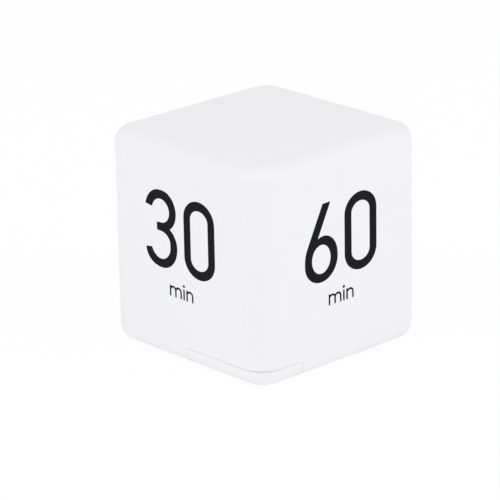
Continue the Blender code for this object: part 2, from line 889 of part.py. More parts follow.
def make_top_contact(name, x, dimpled):
    """Contact plate under the well's ceiling, with a tail through it for the lead."""
    contact = add_solid(
        name,
        centred_block(
            x,
            cell_y,
            CONTACT_SIZE,
            CONTACT_SIZE,
            contact_level,
            contact_level + SHEET,
            CONTACT_CORNER,
            EDGE_STEPS,
        ),
        nickel(),
    )
    tail = centred_block(
        x, cell_y, TAIL_WIDTH, SHEET, contact_level + SHEET / 2, well_top + TAIL_HEIGHT
    )
    join(contact, tail)
    if dimpled:
        join(contact, dimple(x, contact_level + SHEET / 2, -SHEET / 2 - TOP_DIMPLE))


def make_cell(name, x, level, button_up):
    """A AAA cell standing on end."""
    body = cell_length - BUTTON_HEIGHT
    profile = (
        (0.0, 0.0),
        (CELL_RADIUS - CELL_EDGE, 0.0),
        (CELL_RADIUS, CELL_EDGE),
        (CELL_RADIUS, body - CELL_EDGE),
        (CELL_RADIUS - CELL_EDGE, body),
        (BUTTON_RADIUS, body),
        (BUTTON_RADIUS, cell_length),
        (0.0, cell_length),
    )
    if not button_up:
        profile = tuple((radius, cell_length - height) for radius, height in reversed(profile))
    add_solid(
        name,
        turned_at(x, cell_y, level, profile),
        finish("cell_jacket", (0.05, 0.12, 0.3), 0.35, 0.3),
    )


def make_circuit_board():
    """Board over the display, cut away round the well and the screw posts."""
    board = add_solid(
        "circuit_board",
        centred_block(
            0.0,
            0.0,
            2 * board_edge,
            2 * board_edge,
            board_level,
            board_top,
            CONTACT_CORNER,
            EDGE_STEPS,
        ),
        finish("board", (0.05, 0.22, 0.1), 0.5),
    )
    below, above = board_level - OVERRUN, board_top + OVERRUN
    cut(
        board,
        block(
            well_x0 - CUTOUT_MARGIN,
            half,
            -half,
            well_y1 + CUTOUT_MARGIN,
            below,
            above,
        ),
    )
    reach = case_screw_edge - CASE_POST_RADIUS - CUTOUT_MARGIN
    for x, y in case_screw_places:
        x0, x1 = sorted((math.copysign(reach, x), math.copysign(half, x)))
        y0, y1 = sorted((math.copysign(reach, y), math.copysign(half, y)))
        cut(board, block(x0, x1, y0, y1, below, above))
    for x, y in board_post_places:
        cut(board, rod(x, y, below, above, hole_radius, SMALL_SIDES))
    hole = LEG_SIZE * math.sqrt(2) / 2 + PLAY
    for x, y in lamp_leg_places() + tilt_leg_places():
        cut(board, rod(x, y, below, above, hole, SMALL_SIDES))


def make_screw(name, x, y, level, shank, points_up):
    """Pan-head screw with a cross recess. level is the height of the head's seat."""
    flip = 1.0 if points_up else -1.0
    profile = [
        (0.0, -HEAD_HEIGHT),
        (HEAD_RADIUS - CROSS_WIDTH, -HEAD_HEIGHT),
        (HEAD_RADIUS, CROSS_WIDTH - HEAD_HEIGHT),
        (HEAD_RADIUS, 0.0),
        (SHANK_RADIUS, 0.0),
        (SHANK_RADIUS, shank - SHANK_RADIUS),
        (0.0, shank),
    ]
    screw = add_solid(name, turned(profile, SMALL_SIDES), nickel())
    for length, width in ((CROSS_LENGTH, CROSS_WIDTH), (CROSS_WIDTH, CROSS_LENGTH)):
        recess = centred_block(
            0.0,
            0.0,
            length,
            width,
            -HEAD_HEIGHT - OVERRUN,
            CROSS_DEPTH - HEAD_HEIGHT,
        )
        cut(screw, recess)
    turn = Matrix.Rotation(0.0 if points_up else FULL_TURN / 2, 4, "X")
    screw.data.transform(Matrix.Translation((x, y, level - flip * PLAY)) @ turn)


def make_display():
    """Window, panel, contact strips and the frame that holds them under the board."""
    overlap = 2 * WINDOW_OVERLAP
    add_solid(
        "lcd_window",
        centred_block(
            0.0,
            display_y,
            opening_length + overlap,
            opening_height + overlap,
            WINDOW_RECESS,
            WINDOW_RECESS + WINDOW_THICKNESS,
            WINDOW_CORNER,
            EDGE_STEPS,
        ),
        finish("window", (0.9, 0.9, 0.9), 0.05, alpha=0.3),
    )
    panel_level = PLATE_THICKNESS + PLAY
    panel_top = panel_level + PANEL_THICKNESS
    holder_top = board_level - PLAY
    add_solid(
        "lcd_panel",
        centred_block(0.0, display_y, panel_length, panel_height, panel_level, panel_top),
        finish("lcd", (0.42, 0.46, 0.4), 0.15),
    )
    holder = add_solid(
        "lcd_holder",
        block(
            -frame_x,
            frame_x,
            frame_y0,
            frame_y1,
            panel_level,
            holder_top,
            HOLDER_WALL,
            steps=EDGE_STEPS,
        ),
        black_plastic(),
    )
    hollow = block(
        HOLDER_WALL - frame_x,
        frame_x - HOLDER_WALL,
        frame_y0 + HOLDER_WALL,
        frame_y1 - HOLDER_WALL,
        panel_level - OVERRUN,
        holder_top + OVERRUN,
    )
    cut(holder, hollow)
    for number, side in ((1, -1.0), (2, 1.0)):
        y = display_y + side * (panel_height - ZEBRA_WIDTH) / 2
        strip = centred_block(
            0.0, y, panel_length, ZEBRA_WIDTH, panel_top + PLAY, holder_top
        )
        add_solid(f"zebra_strip_{number}", strip, finish("zebra", (0.75, 0.45, 0.5), 0.7))


def lamp_leg_places():
    return [(lamp_x - LEG_SPACING / 2, lamp_y), (lamp_x + LEG_SPACING / 2, lamp_y)]


def make_lamp():
    """Red lamp, hanging from the board with its dome in the plate's hole."""
    collar = board_level - PLAY
    dome_end = LAMP_RECESS + LAMP_RADIUS
    profile = []
    for i in range(EDGE_STEPS):
        angle = QUARTER * i / EDGE_STEPS
        height = dome_end - LAMP_RADIUS * math.cos(angle)
        profile.append((LAMP_RADIUS * math.sin(angle), height))
    profile += [
        (LAMP_RADIUS, dome_end),
        (LAMP_RADIUS, collar - LAMP_COLLAR_HEIGHT),
        (LAMP_RADIUS + LAMP_COLLAR, collar - LAMP_COLLAR_HEIGHT),
        (LAMP_RADIUS + LAMP_COLLAR, collar),
        (0.0, collar),
    ]
    lamp = add_solid(
        "led", turned_at(lamp_x, lamp_y, 0.0, profile), finish("lamp", (0.7, 0.03, 0.03), 0.1)
    )
    for x, y in lamp_leg_places():
        leg = centred_block(
            x, y, LEG_SIZE, LEG_SIZE, collar - LAMP_COLLAR_HEIGHT / 2, board_top + LEG_END
        )
        join(lamp, leg)


def make_sounder():
    """Brass disc with its ceramic, on the ring over the sound holes, and two leads."""
    level = PLATE_THICKNESS + SOUNDER_STEP_HEIGHT + PLAY
    disc = rod(sounder_x, sounder_y, level, level + SHEET, SOUNDER_RADIUS)
    add_solid("sounder_disc", disc, brass())
    level += SHEET + PLAY
    top = level + CERAMIC_THICKNESS
    ceramic = rod(sounder_x, sounder_y, level, top, CERAMIC_RADIUS)
    add_solid("sounder_ceramic", ceramic, finish("ceramic", (0.8, 0.78, 0.7), 0.5))
    starts = (
        (sounder_x - SOUNDER_RADIUS + 2 * SOUND_WIRE_RADIUS, level + SOUND_WIRE_RADIUS),
        (sounder_x + CERAMIC_RADIUS / 2, top + PLAY + SOUND_WIRE_RADIUS),
    )
    roof = board_level - PLAY
    for number, (x, z) in enumerate(starts, 1):
        points = [
            (x, sounder_y + SOUND_WIRE_LEAN * lean, z + (roof - z) * rise)
            for rise, lean in zip(sound_wire_rise_shares, sound_wire_lean_shares)
        ]
        tube(
            f"sounder_wire_{number}",
            points,
            SOUND_WIRE_RADIUS,
            1,
            finish("lead_white", (0.8, 0.8, 0.8), 0.5),
        )


def make_switch():
    """Slide switch under the board, and the captive knob in the plate's slot that moves it."""
    housing = add_solid(
        "switch_housing",
        centred_block(
            switch_x,
            switch_y,
            HOUSING_LENGTH,
            HOUSING_WIDTH,
            housing_level,
            housing_level + HOUSING_HEIGHT,
        ),
        nickel(),
    )
    travel_slot = centred_block(
        switch_x,
        switch_y,
        LEVER_SIZE + SWITCH_TRAVEL + 2 * PLAY,
        LEVER_SIZE + 2 * PLAY,
        housing_level - OVERRUN,
        housing_level + LEVER_DEPTH + PLAY,
    )
    cut(housing, travel_slot)
    off_x = switch_x - SWITCH_TRAVEL / 2
    flange_bottom = PLATE_THICKNESS + PLAY
    sunk = knob_top - KNOB_FLANGE_THICKNESS / 2
    knob = add_solid(
        "switch_knob",
        centred_block(
            off_x, switch_y, 2 * flange_half, KNOB_FLANGE_WIDTH, flange_bottom, knob_top
        ),
        black_plastic(),
    )
    join(knob, centred_block(off_x, switch_y, KNOB_LENGTH, KNOB_WIDTH, KNOB_RECESS, sunk))
    pitch = KNOB_LENGTH / KNOB_RIDGES
    for i in range(KNOB_RIDGES - 1):
        x = off_x - KNOB_LENGTH / 2 + pitch * (i + 1)
        groove = centred_block(
            x,
            switch_y,
            pitch * ridge_gap_share,
            KNOB_WIDTH + OVERRUN,
            KNOB_RECESS - OVERRUN,
            KNOB_RECESS + RIDGE_DEPTH,
        )
        cut(knob, groove)
    fork_gap = LEVER_SIZE / 2 + PLAY + FORK_THICKNESS / 2
    for x in (off_x - fork_gap, off_x + fork_gap):
        prong = centred_block(
            x,
            switch_y,
            FORK_THICKNESS,
            LEVER_SIZE,
            sunk,
            housing_level - PLAY,
        )
        join(knob, prong)
    lever = add_solid(
        "switch_lever",
        centred_block(
            off_x,
            switch_y,
            LEVER_SIZE,
            LEVER_SIZE,
            knob_top + PLAY,
            housing_level + LEVER_DEPTH,
        ),
        black_plastic(),
    )
    attach((knob, lever), add_runner("switch_slider", (off_x, switch_y, KNOB_RECESS)))


def tilt_directions():
    """Name and quarter turn of each switch: +X, +Y, -X and -Y."""
    return (("px", 0), ("py", 1), ("nx", 2), ("ny", 3))


def tilt_place(turn):
    """Turns a switch that lies along +X from the middle of the cross to its own arm."""
    level = board_top + PLAY + CAN_RADIUS
    middle = Matrix.Translation((0.0, tilt_y, level))
    return middle @ Matrix.Rotation(QUARTER * turn, 4, "Z")


def tilt_leg_places():
    """Where each switch's two legs go through the board."""
    places = []
    for _, turn in tilt_directions():
        for side in (-1.0, 1.0):
            spot = Vector((TILT_START + BASE_THICKNESS / 2, side * TILT_LEG_SPACING / 2, 0.0))
            spot = tilt_place(turn) @ spot
            places.append((spot.x, spot.y))
    return places


def make_tilt_switch(direction, turn):
    """A ball in a can: the ball closes the contacts in the base when the can stands on it."""
    place = tilt_place(turn)
    lying = Matrix.Rotation(QUARTER, 4, "Y")
    bore = CAN_RADIUS - CAN_WALL
    mouth = TILT_START + BASE_THICKNESS + PLAY
    radius = bore - PLAY
    end = mouth + PLUG_LENGTH + BALL_TRAVEL + 2 * (radius + PLAY) + CAN_END
    can = turned(
        (
            (0.0, end - CAN_END),
            (bore, end - CAN_END),
            (bore, mouth),
            (CAN_RADIUS, mouth),
            (CAN_RADIUS, end),
            (0.0, end),
        )
    )
    can.transform(place @ lying)
    add_solid(f"tilt_can_{direction}", can, nickel())
    plug_end = mouth + PLUG_LENGTH
    base = turned(
        (
            (0.0, TILT_START),
            (CAN_RADIUS, TILT_START),
            (CAN_RADIUS, TILT_START + BASE_THICKNESS),
            (radius, TILT_START + BASE_THICKNESS),
            (radius, plug_end),
            (0.0, plug_end),
        )
    )
    base.transform(lying)
    item = add_solid(f"tilt_base_{direction}", base, finish("amber", (0.45, 0.2, 0.05), 0.4))
    for side in (-1.0, 1.0):
        leg = centred_block(
            TILT_START + BASE_THICKNESS / 2,
            side * TILT_LEG_SPACING / 2,
            LEG_SIZE,
            LEG_SIZE,
            -CAN_RADIUS - PLAY - BOARD_THICKNESS,
            -CAN_RADIUS / 2,
        )
        join(item, leg)
    item.data.transform(place)
    start = end - CAN_END - PLAY - radius
    ball_mesh = bmesh.new()
    bmesh.ops.create_uvsphere(
        ball_mesh, u_segments=SMALL_SIDES, v_segments=BALL_RINGS, radius=radius
    )
    ball = add_solid(f"tilt_ball_{direction}", ball_mesh, brass())
    ball.location = place @ Vector((start, 0.0, 0.0))


def make_board_parts():
    """Chip under its blob, crystal, capacitor, coil, transistor and resistors."""
    level = board_top + PLAY
    dome = [(0.0, 0.0), (BLOB_RADIUS, 0.0)]
    for i in range(1, EDGE_STEPS + 1):
        angle = QUARTER * i / EDGE_STEPS
        dome.append((BLOB_RADIUS * math.cos(angle), BLOB_HEIGHT * math.sin(angle)))
    dome[-1] = (0.0, BLOB_HEIGHT)
    blob_x = (well_x0 - CUTOUT_MARGIN - board_edge) / 2
    add_solid(
        "controller_blob",
        turned_at(blob_x, well_y1 + BLOB_OFFSET, level, dome),
        finish("epoxy", (0.02, 0.02, 0.02), 0.3),
    )
    crystal = turned(
        (
            (0.0, 0.0),
            (CRYSTAL_RADIUS, 0.0),
            (CRYSTAL_RADIUS, CRYSTAL_LENGTH),
            (0.0, CRYSTAL_LENGTH),
        ),
        SMALL_SIDES,
    )
    place = Matrix.Translation((cell_a_x, well_y1 + CRYSTAL_OFFSET, level + CRYSTAL_RADIUS))
    crystal.transform(place @ Matrix.Rotation(QUARTER, 4, "Y"))
    add_solid("crystal", crystal, nickel())
    parts_y = tilt_y + PARTS_ABOVE
    coil = rod(-PARTS_ASIDE, parts_y, level, level + COIL_HEIGHT, COIL_RADIUS)
    add_solid("boost_coil", coil, finish("ferrite", (0.12, 0.12, 0.12), 0.6))
    capacitor = rod(PARTS_ASIDE, parts_y, level, level + CAPACITOR_HEIGHT, CAPACITOR_RADIUS)
    add_solid("filter_capacitor", capacitor, black_plastic())
    x, y = TRANSISTOR_ASIDE, tilt_y - TRANSISTOR_BELOW
    transistor = add_solid(
        "transistor",
        rod(x, y, level, level + TRANSISTOR_HEIGHT, TRANSISTOR_RADIUS),
        black_plastic(),
    )
    flat = block(
        x - 2 * TRANSISTOR_RADIUS,
        x - TRANSISTOR_RADIUS / 2,
        y - 2 * TRANSISTOR_RADIUS,
        y + 2 * TRANSISTOR_RADIUS,
        level - OVERRUN,
        level + TRANSISTOR_HEIGHT + OVERRUN,
    )
    cut(transistor, flat)
    for i in range(RESISTORS):
        resistor = centred_block(
            RESISTOR_ASIDE + RESISTOR_PITCH * i,
            tilt_y + RESISTOR_ABOVE,
            RESISTOR_LENGTH,
            RESISTOR_WIDTH,
            level,
            level + RESISTOR_HEIGHT,
        )
        add_solid(f"resistor_{i + 1}", resistor, black_plastic())


def bent_route(corners):
    """Points of a path through corners, each rounded by an arc-like bend."""
    points = [Vector(corners[0])]
    for before, corner, after in zip(corners, corners[1:], corners[2:]):
        corner = Vector(corner)
        start = corner + (Vector(before) - corner).normalized() * WIRE_BEND
        end = corner + (Vector(after) - corner).normalized() * WIRE_BEND
        for i in range(WIRE_STEPS + 1):
            t = i / WIRE_STEPS
            points.append(start * (1 - t) ** 2 + corner * 2 * t * (1 - t) + end * t**2)
    points.append(Vector(corners[-1]))
    return points


def make_lead(name, x, color):
    """Lead from a contact's tail over the well, down its wall and on to the board."""
    over = well_top + PLAY + WIRE_BAND
    beside = well_y1 + PLAY + WIRE_RADIUS
    foot = board_top + PLAY + WIRE_RADIUS
    corners = (
        (x, cell_y + SHEET / 2 + PLAY, over),
        (x, beside, over),
        (x, beside, foot),
        (x, beside + WIRE_FOOT, foot),
    )
    tube(name, bent_route(corners), WIRE_RADIUS, 2, finish(name, color, 0.5))


def make_timer():
    """Builds the whole timer."""
    clear_scene()
    make_main_shell()
    make_bottom_plate()
    for i, (x, y) in enumerate(case_screw_places, 1):
        make_screw(f"case_screw_{i}", x, y, HEAD_BORE_DEPTH, CASE_SHANK, True)
    door = make_battery_door()
    bridge = make_bridge_contact()
    bridge_spring = coil_spring(
        "bridge_spring", cell_b_x, door_spring_level, door_spring_top, False
    )
    runner = add_runner("door_runner", (door_x, door_y, ledge_level))
    attach((door, bridge, bridge_spring), runner)
    make_battery_holder()
    for i, (x, y) in enumerate(ear_places, 1):
        seat = flange_level + FLANGE_THICKNESS
        make_screw(f"holder_screw_{i}", x, y, seat, SHORT_SHANK, False)
    make_cell("cell_a", cell_a_x, cell_a_level, False)
    make_cell("cell_b", cell_b_x, cell_b_level, True)
    make_top_contact("contact_negative", cell_a_x, False)
    make_top_contact("contact_positive", cell_b_x, True)
    cell_a_top = cell_a_level + cell_length
    coil_spring("spring_negative", cell_a_x, cell_a_top + PLAY, contact_level - PLAY, True)
    make_circuit_board()
    for i, (x, y) in enumerate(board_post_places, 1):
        make_screw(f"board_screw_{i}", x, y, board_top, SHORT_SHANK, False)
    make_display()
    make_lamp()
    make_sounder()
    make_switch()
    for direction, turn in tilt_directions():
        make_tilt_switch(direction, turn)
    make_board_parts()
    make_lead("wire_black", cell_a_x, (0.02, 0.02, 0.02))
    make_lead("wire_red", cell_b_x, (0.6, 0.03, 0.03))


make_timer()
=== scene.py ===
import math

import bpy
import numpy as np
from mathutils import Matrix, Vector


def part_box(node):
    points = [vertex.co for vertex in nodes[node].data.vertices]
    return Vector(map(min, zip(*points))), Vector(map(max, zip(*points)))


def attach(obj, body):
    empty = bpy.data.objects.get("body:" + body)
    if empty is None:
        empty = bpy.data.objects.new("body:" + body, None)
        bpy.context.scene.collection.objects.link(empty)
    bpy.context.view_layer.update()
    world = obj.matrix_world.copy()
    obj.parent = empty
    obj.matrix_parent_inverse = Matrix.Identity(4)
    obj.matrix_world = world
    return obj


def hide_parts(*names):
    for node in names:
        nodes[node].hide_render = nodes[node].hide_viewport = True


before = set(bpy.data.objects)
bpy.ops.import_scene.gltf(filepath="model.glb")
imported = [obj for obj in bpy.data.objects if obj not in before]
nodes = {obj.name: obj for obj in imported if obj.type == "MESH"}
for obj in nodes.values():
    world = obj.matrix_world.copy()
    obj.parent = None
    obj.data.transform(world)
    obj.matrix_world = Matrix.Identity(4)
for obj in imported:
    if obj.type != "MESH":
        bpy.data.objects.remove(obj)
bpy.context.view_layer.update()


# Camera
# A long lens a little above the table, turned to the upright edge between the 30 and 60 minute
# sides. Its place follows from the cube's corners in the photograph, and is given in cube sides.
mm = 0.001
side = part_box("main_shell")[1].z
view_azimuth = 46.86
view_elevation = 19.26
view_roll = -0.96
view_distance = 13.95 * side
focal_pixels = 3121.0
frame_pixels = 500.0
axis_pixel = (264.6, 230.8)


def aim(item, azimuth, elevation, distance, roll=0.0):
    """Puts a camera or lamp at a distance from the cube's middle, looking at it.

    In degrees, azimuth 0 stands on the -Y side and 90 on the +X side, and roll turns the picture.
    """
    turn, rise, tilt = np.radians((azimuth, elevation, roll))
    back = np.array(
        (math.sin(turn) * math.cos(rise), -math.cos(turn) * math.cos(rise), math.sin(rise))
    )
    right = np.cross((0.0, 0.0, 1.0), back)
    right /= np.linalg.norm(right)
    up = np.cross(back, right)
    place = np.eye(4)
    place[:3, 0] = right * math.cos(tilt) + up * math.sin(tilt)
    place[:3, 1] = up * math.cos(tilt) - right * math.sin(tilt)
    place[:3, 2] = back
    place[:3, 3] = np.array((0.0, 0.0, side / 2)) + back * distance
    item.matrix_world = Matrix(place.tolist())


def add_object(name, data):
    """A new object in the scene."""
    item = bpy.data.objects.new(name, data)
    bpy.context.collection.objects.link(item)
    return item


camera_data = bpy.data.cameras.new("camera")
camera_data.sensor_width = 36.0
camera_data.lens = camera_data.sensor_width * focal_pixels / frame_pixels
camera_data.shift_x = 0.5 - axis_pixel[0] / frame_pixels
camera_data.shift_y = axis_pixel[1] / frame_pixels - 0.5
camera = add_object("camera", camera_data)
bpy.context.scene.camera = camera
aim(camera, view_azimuth, view_elevation, view_distance, view_roll)


# Table, room and lamps
# A white light table in a white room. The camera, gloss and glass see both as plain white, and the
# table keeps a faint shadow. It is open under the cube, which lets light reach the display face.
table_reach = 4.0
table_opening = 27.0 * mm
table_white = 0.9
table_glow = 0.17
shadow_share = 0.06
daylight = 0.70
lamp_distance = 1.2
plain_white = (1.0, 1.0, 1.0, 1.0)


def add_node(tree, kind, inputs=None, **settings):
    """Adds a shader node and returns its outputs. An input is a value or another node's output."""
    node = tree.nodes.new(kind)
    for name, value in settings.items():
        setattr(node, name, value)
    for name, value in (inputs or {}).items():
        if isinstance(value, bpy.types.NodeSocket):
            tree.links.new(value, node.inputs[name])
        else:
            node.inputs[name].default_value = value
    return node.outputs


def arithmetic(tree, operation, first, second=0.0):
    """The result of a Math node."""
    return add_node(tree, "ShaderNodeMath", {0: first, 1: second}, operation=operation)[0]


def blank_material(name):
    """A material with an empty node tree, and the tree."""
    material = bpy.data.materials.new(name)
    material.use_nodes = True
    material.node_tree.nodes.clear()
    return material, material.node_tree


def seen_plainly(tree):
    """1 for the rays that show the background: from the camera, in gloss and through glass."""
    path = add_node(tree, "ShaderNodeLightPath")
    direct = arithmetic(tree, "MAXIMUM", path["Is Camera Ray"], path["Is Glossy Ray"])
    return arithmetic(tree, "MAXIMUM", direct, path["Is Transmission Ray"])


def mesh_object(name, points, faces):
    """A new object in the scene with a mesh of points and faces."""
    mesh = bpy.data.meshes.new(name)
    mesh.from_pydata(points.tolist(), [], faces)
    return add_object(name, mesh)


table_material, tree = blank_material("white_table")
grey = (table_white, table_white, table_white, 1.0)
laminate = add_node(tree, "ShaderNodeBsdfDiffuse", {"Color": grey})[0]
glow = add_node(tree, "ShaderNodeEmission", {"Color": plain_white, "Strength": table_glow})[0]
lit = add_node(tree, "ShaderNodeAddShader", {0: laminate, 1: glow})[0]
shaded = add_node(tree, "ShaderNodeBsdfDiffuse", {"Color": plain_white})[0]
white = add_node(tree, "ShaderNodeEmission", {"Color": plain_white, "Strength": 1.0})[0]
shown = add_node(tree, "ShaderNodeMixShader", {0: shadow_share, 1: white, 2: shaded})[0]
upper = add_node(tree, "ShaderNodeMixShader", {0: seen_plainly(tree), 1: lit, 2: shown})[0]
clear = add_node(tree, "ShaderNodeBsdfTransparent")[0]
from_below = add_node(tree, "ShaderNodeNewGeometry")["Backfacing"]
both = add_node(tree, "ShaderNodeMixShader", {0: from_below, 1: upper, 2: clear})[0]
add_node(tree, "ShaderNodeOutputMaterial", {"Surface": both})

corners = np.array(((-1.0, -1.0), (1.0, -1.0), (1.0, 1.0), (-1.0, 1.0)))
points = np.zeros((8, 3))
points[:4, :2] = corners * table_reach
points[4:, :2] = corners * table_opening
table = mesh_object("table", points, [(i, (i + 1) % 4, 4 + (i + 1) % 4, 4 + i) for i in range(4)])
table.data.materials.append(table_material)

world = bpy.data.worlds.new("white_room")
bpy.context.scene.world = world
world.use_nodes = True
tree = world.node_tree
tree.nodes.clear()
strength = add_node(
    tree, "ShaderNodeMapRange", {"Value": seen_plainly(tree), "To Min": daylight, "To Max": 1.0}
)[0]
room = add_node(tree, "ShaderNodeBackground", {"Color": plain_white, "Strength": strength})[0]
add_node(tree, "ShaderNodeOutputWorld", {"Surface": room})
bpy.context.scene.view_settings.view_transform = "Standard"

softboxes = {  # azimuth, elevation, size of a side, power
    "softbox_left": (-20.0, 35.0, 0.8, 2.6),
    "softbox_right": (115.0, 35.0, 0.8, 2.75),
    "softbox_front": (47.0, 45.0, 0.4, 1.0),
}
for name, (azimuth, elevation, size, power) in softboxes.items():
    lamp = bpy.data.lights.new(name, "AREA")
    lamp.size = size
    lamp.energy = power
    aim(add_object(name, lamp), azimuth, elevation, lamp_distance)


# Casing
# Five sides with their rounded edges are one moulding in white ABS, satin outside. It is hollow,
# with a ledge for the display plate and three screw posts, and one corner is cut for the door.
ink = 0.02 * mm  # thickness of the printing, which lies within the cube's size
half = side / 2 - ink
upright_radius = 7.7 * mm
level_radius = 4.5 * mm
wall = 2.0 * mm
rim_edge = 0.12 * mm
seam = 0.065 * mm  # as seen between two mouldings
play = 0.3 * mm
overrun = 1.0 * mm
plate_edge = 26.42 * mm
plate_corner = 2.4 * mm
ledge_level = 2.3 * mm
ledge_top = 3.8 * mm
throat = 25.45 * mm
throat_corner = 2.3 * mm
door_x = 1.0 * mm  # middle of the door's seams
door_y = -15.85 * mm
door_height = 5.3 * mm
door_plan_radius = 1.5 * mm
door_top_radius = 1.2 * mm
case_screw_edge = 21.6 * mm
post_radius = 3.2 * mm
post_level = 3.9 * mm
pilot_radius = 1.05 * mm
pilot_end = 11.1 * mm
rib_thickness = 1.2 * mm
rib_level = 13.0 * mm
corner_steps = 20  # in a quarter turn
edge_steps = 14
least_corner = 0.02 * mm  # stands for a sharp upright edge
sharp = math.radians(32.0)  # an edge that turns by more is softened
case_screw_places = (
    (-case_screw_edge, -case_screw_edge), (-case_screw_edge, case_screw_edge),
    (case_screw_edge, case_screw_edge),
)


def rings(half_x, half_y, corner, level, x=0.0, y=0.0):
    """Level rectangles with rounded corners, one for each level, as a grid of points.

    A corner's centre lies half a side less the radius from the middle. The radius times
    (cos t, sin t) goes round it in a quarter turn, and straight sides join the quarter turns.
    """
    quarter = np.linspace(0.0, math.pi / 2, corner_steps + 1)
    angle = (np.arange(4)[:, None] * math.pi / 2 + quarter).ravel()
    side_x = np.repeat((1.0, -1.0, -1.0, 1.0), corner_steps + 1)
    side_y = np.repeat((1.0, 1.0, -1.0, -1.0), corner_steps + 1)
    half_x, half_y, corner, level = (
        values.astype(float)[:, None]
        for values in np.broadcast_arrays(*np.atleast_1d(half_x, half_y, corner, level))
    )
    corner = np.maximum(corner, least_corner)
    across = x + (half_x - corner) * side_x + corner * np.cos(angle)
    along = y + (half_y - corner) * side_y + corner * np.sin(angle)
    return np.stack((across, along, level + 0.0 * angle), axis=-1)


def rounding(radius):
    """Inset and rise of a rounded edge: radius times (1 - sin t), and radius times (1 - cos t)."""
    if not radius:
        return np.zeros(1), np.zeros(1)
    t = np.linspace(0.0, math.pi / 2, edge_steps + 1)
    return radius * (1 - np.sin(t)), radius * (1 - np.cos(t))


def tower(x0, x1, y0, y1, z0, z1, corner=0.0, bottom=0.0, top=0.0):
    """Rings of a block with rounded upright edges and, where given, rounded level edges."""
    low_inset, low_rise = rounding(bottom)
    high_inset, high_rise = rounding(top)
    inset = np.concatenate((low_inset, high_inset[::-1]))
    level = np.concatenate((z0 + low_rise, z1 - high_rise[::-1]))
    half_x = (x1 - x0) / 2 - inset
    half_y = (y1 - y0) / 2 - inset
    return rings(half_x, half_y, corner - inset, level, (x0 + x1) / 2, (y0 + y1) / 2)


def block(x, y, length, width, z0, z1, corner=0.0, **edges):
    """Rings of a tower that is centred on x and y."""
    sides = (x - length / 2, x + length / 2, y - width / 2, y + width / 2)
    return tower(*sides, z0, z1, corner, **edges)


def full_turn(sides):
    """Even angles of one turn, without its end."""
    return np.linspace(0.0, 2 * math.pi, sides, endpoint=False)


def about_axis(radius, t, level, x=0.0, y=0.0):
    """Points round an upright axis: (x + radius cos t, y + radius sin t, level)."""
    return np.stack((x + radius * np.cos(t), y + radius * np.sin(t), level + 0.0 * t), axis=-1)


def turned(profile, x=0.0, y=0.0, z=0.0, sides=64):
    """Rings of a turned piece, one for each point of its profile: a radius and a height."""
    radius, height = np.array(profile, float).T[:, :, None]
    return about_axis(radius, full_turn(sides), z + height, x, y)


def rod(x, y, z0, z1, radius, sides=48):
    """Rings of an upright cylinder."""
    return turned(((radius, z0), (radius, z1)), x, y, sides=sides)


def skin(name, grid, hollow=False):
    """A closed mesh object over rings of points: quads between rings, and a cap on each end.

    A hollow one has no caps, because its last ring meets its first.
    """
    count, around = grid.shape[:2]
    point = np.arange(count * around).reshape(count, around)
    above = np.roll(point, -1, axis=0)
    corners = (point, np.roll(point, -1, axis=1), np.roll(above, -1, axis=1), above)
    quads = np.stack(corners, axis=-1)
    ends = []
    if not hollow:
        quads = quads[:-1]
        ends = [point[0, ::-1].tolist(), point[-1].tolist()]
    return mesh_object(name, grid.reshape(-1, 3), quads.reshape(-1, 4).tolist() + ends)


def built_mesh(item):
    """A new mesh of an object with its modifiers applied, or of a curve."""
    built = item.evaluated_get(bpy.context.evaluated_depsgraph_get())
    return bpy.data.meshes.new_from_object(built)


def settle(item):
    """Applies an object's modifiers to its mesh."""
    changed = built_mesh(item)
    item.modifiers.clear()
    item.data = changed


def change(item, grids, operation):
    """Cuts closed shapes out of an object, or joins them on, or keeps what both fill."""
    for grid in grids:
        tool = skin("tool", grid)
        step = item.modifiers.new("step", "BOOLEAN")
        step.operation = operation
        step.object = tool
        settle(item)
        bpy.data.objects.remove(tool, do_unlink=True)


def cut(item, *grids):
    change(item, grids, "DIFFERENCE")


def join(item, *grids):
    change(item, grids, "UNION")


def soften(item, width):
    """Breaks an object's sharp edges by a small rounding and keeps its flat faces flat."""
    if width:
        edge = item.modifiers.new("edge", "BEVEL")
        edge.width = width
        edge.segments = 2
        edge.limit_method = "ANGLE"
        edge.angle_limit = sharp
        settle(item)
    item.data.shade_smooth()
    item.data.set_sharp_from_angle(angle=sharp)
    flats = item.modifiers.new("flats", "WEIGHTED_NORMAL")
    flats.keep_sharp = True
    flats.weight = 100
    settle(item)


def corner_space(gap):
    """Rings of the bottom corner that the door fills, wider or narrower by a gap on its seams."""
    return tower(
        door_x - gap, half + level_radius, -half - level_radius, door_y + gap, -level_radius,
        door_height + gap, door_plan_radius + gap, top=door_top_radius + gap,
    )


def present(item, slot, material, *replaced, body="casing", edge=0.0, place=None):
    """Finishes a piece: its softened edges, its place, its material, the body that it moves with
    and the nodes that it stands for.
    """
    if edge is not None:
        soften(item, edge)
    if place:
        item.data.transform(place)
    item.data.name = item.name
    item.data.materials.clear()
    item.data.materials.append(material)
    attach(item, body)
    if replaced:
        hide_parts(*replaced)


def piece(name, grid, *worn, hollow=False, **finish):
    """Builds a piece over rings of points and finishes it."""
    present(skin(name, grid, hollow), *worn, **finish)


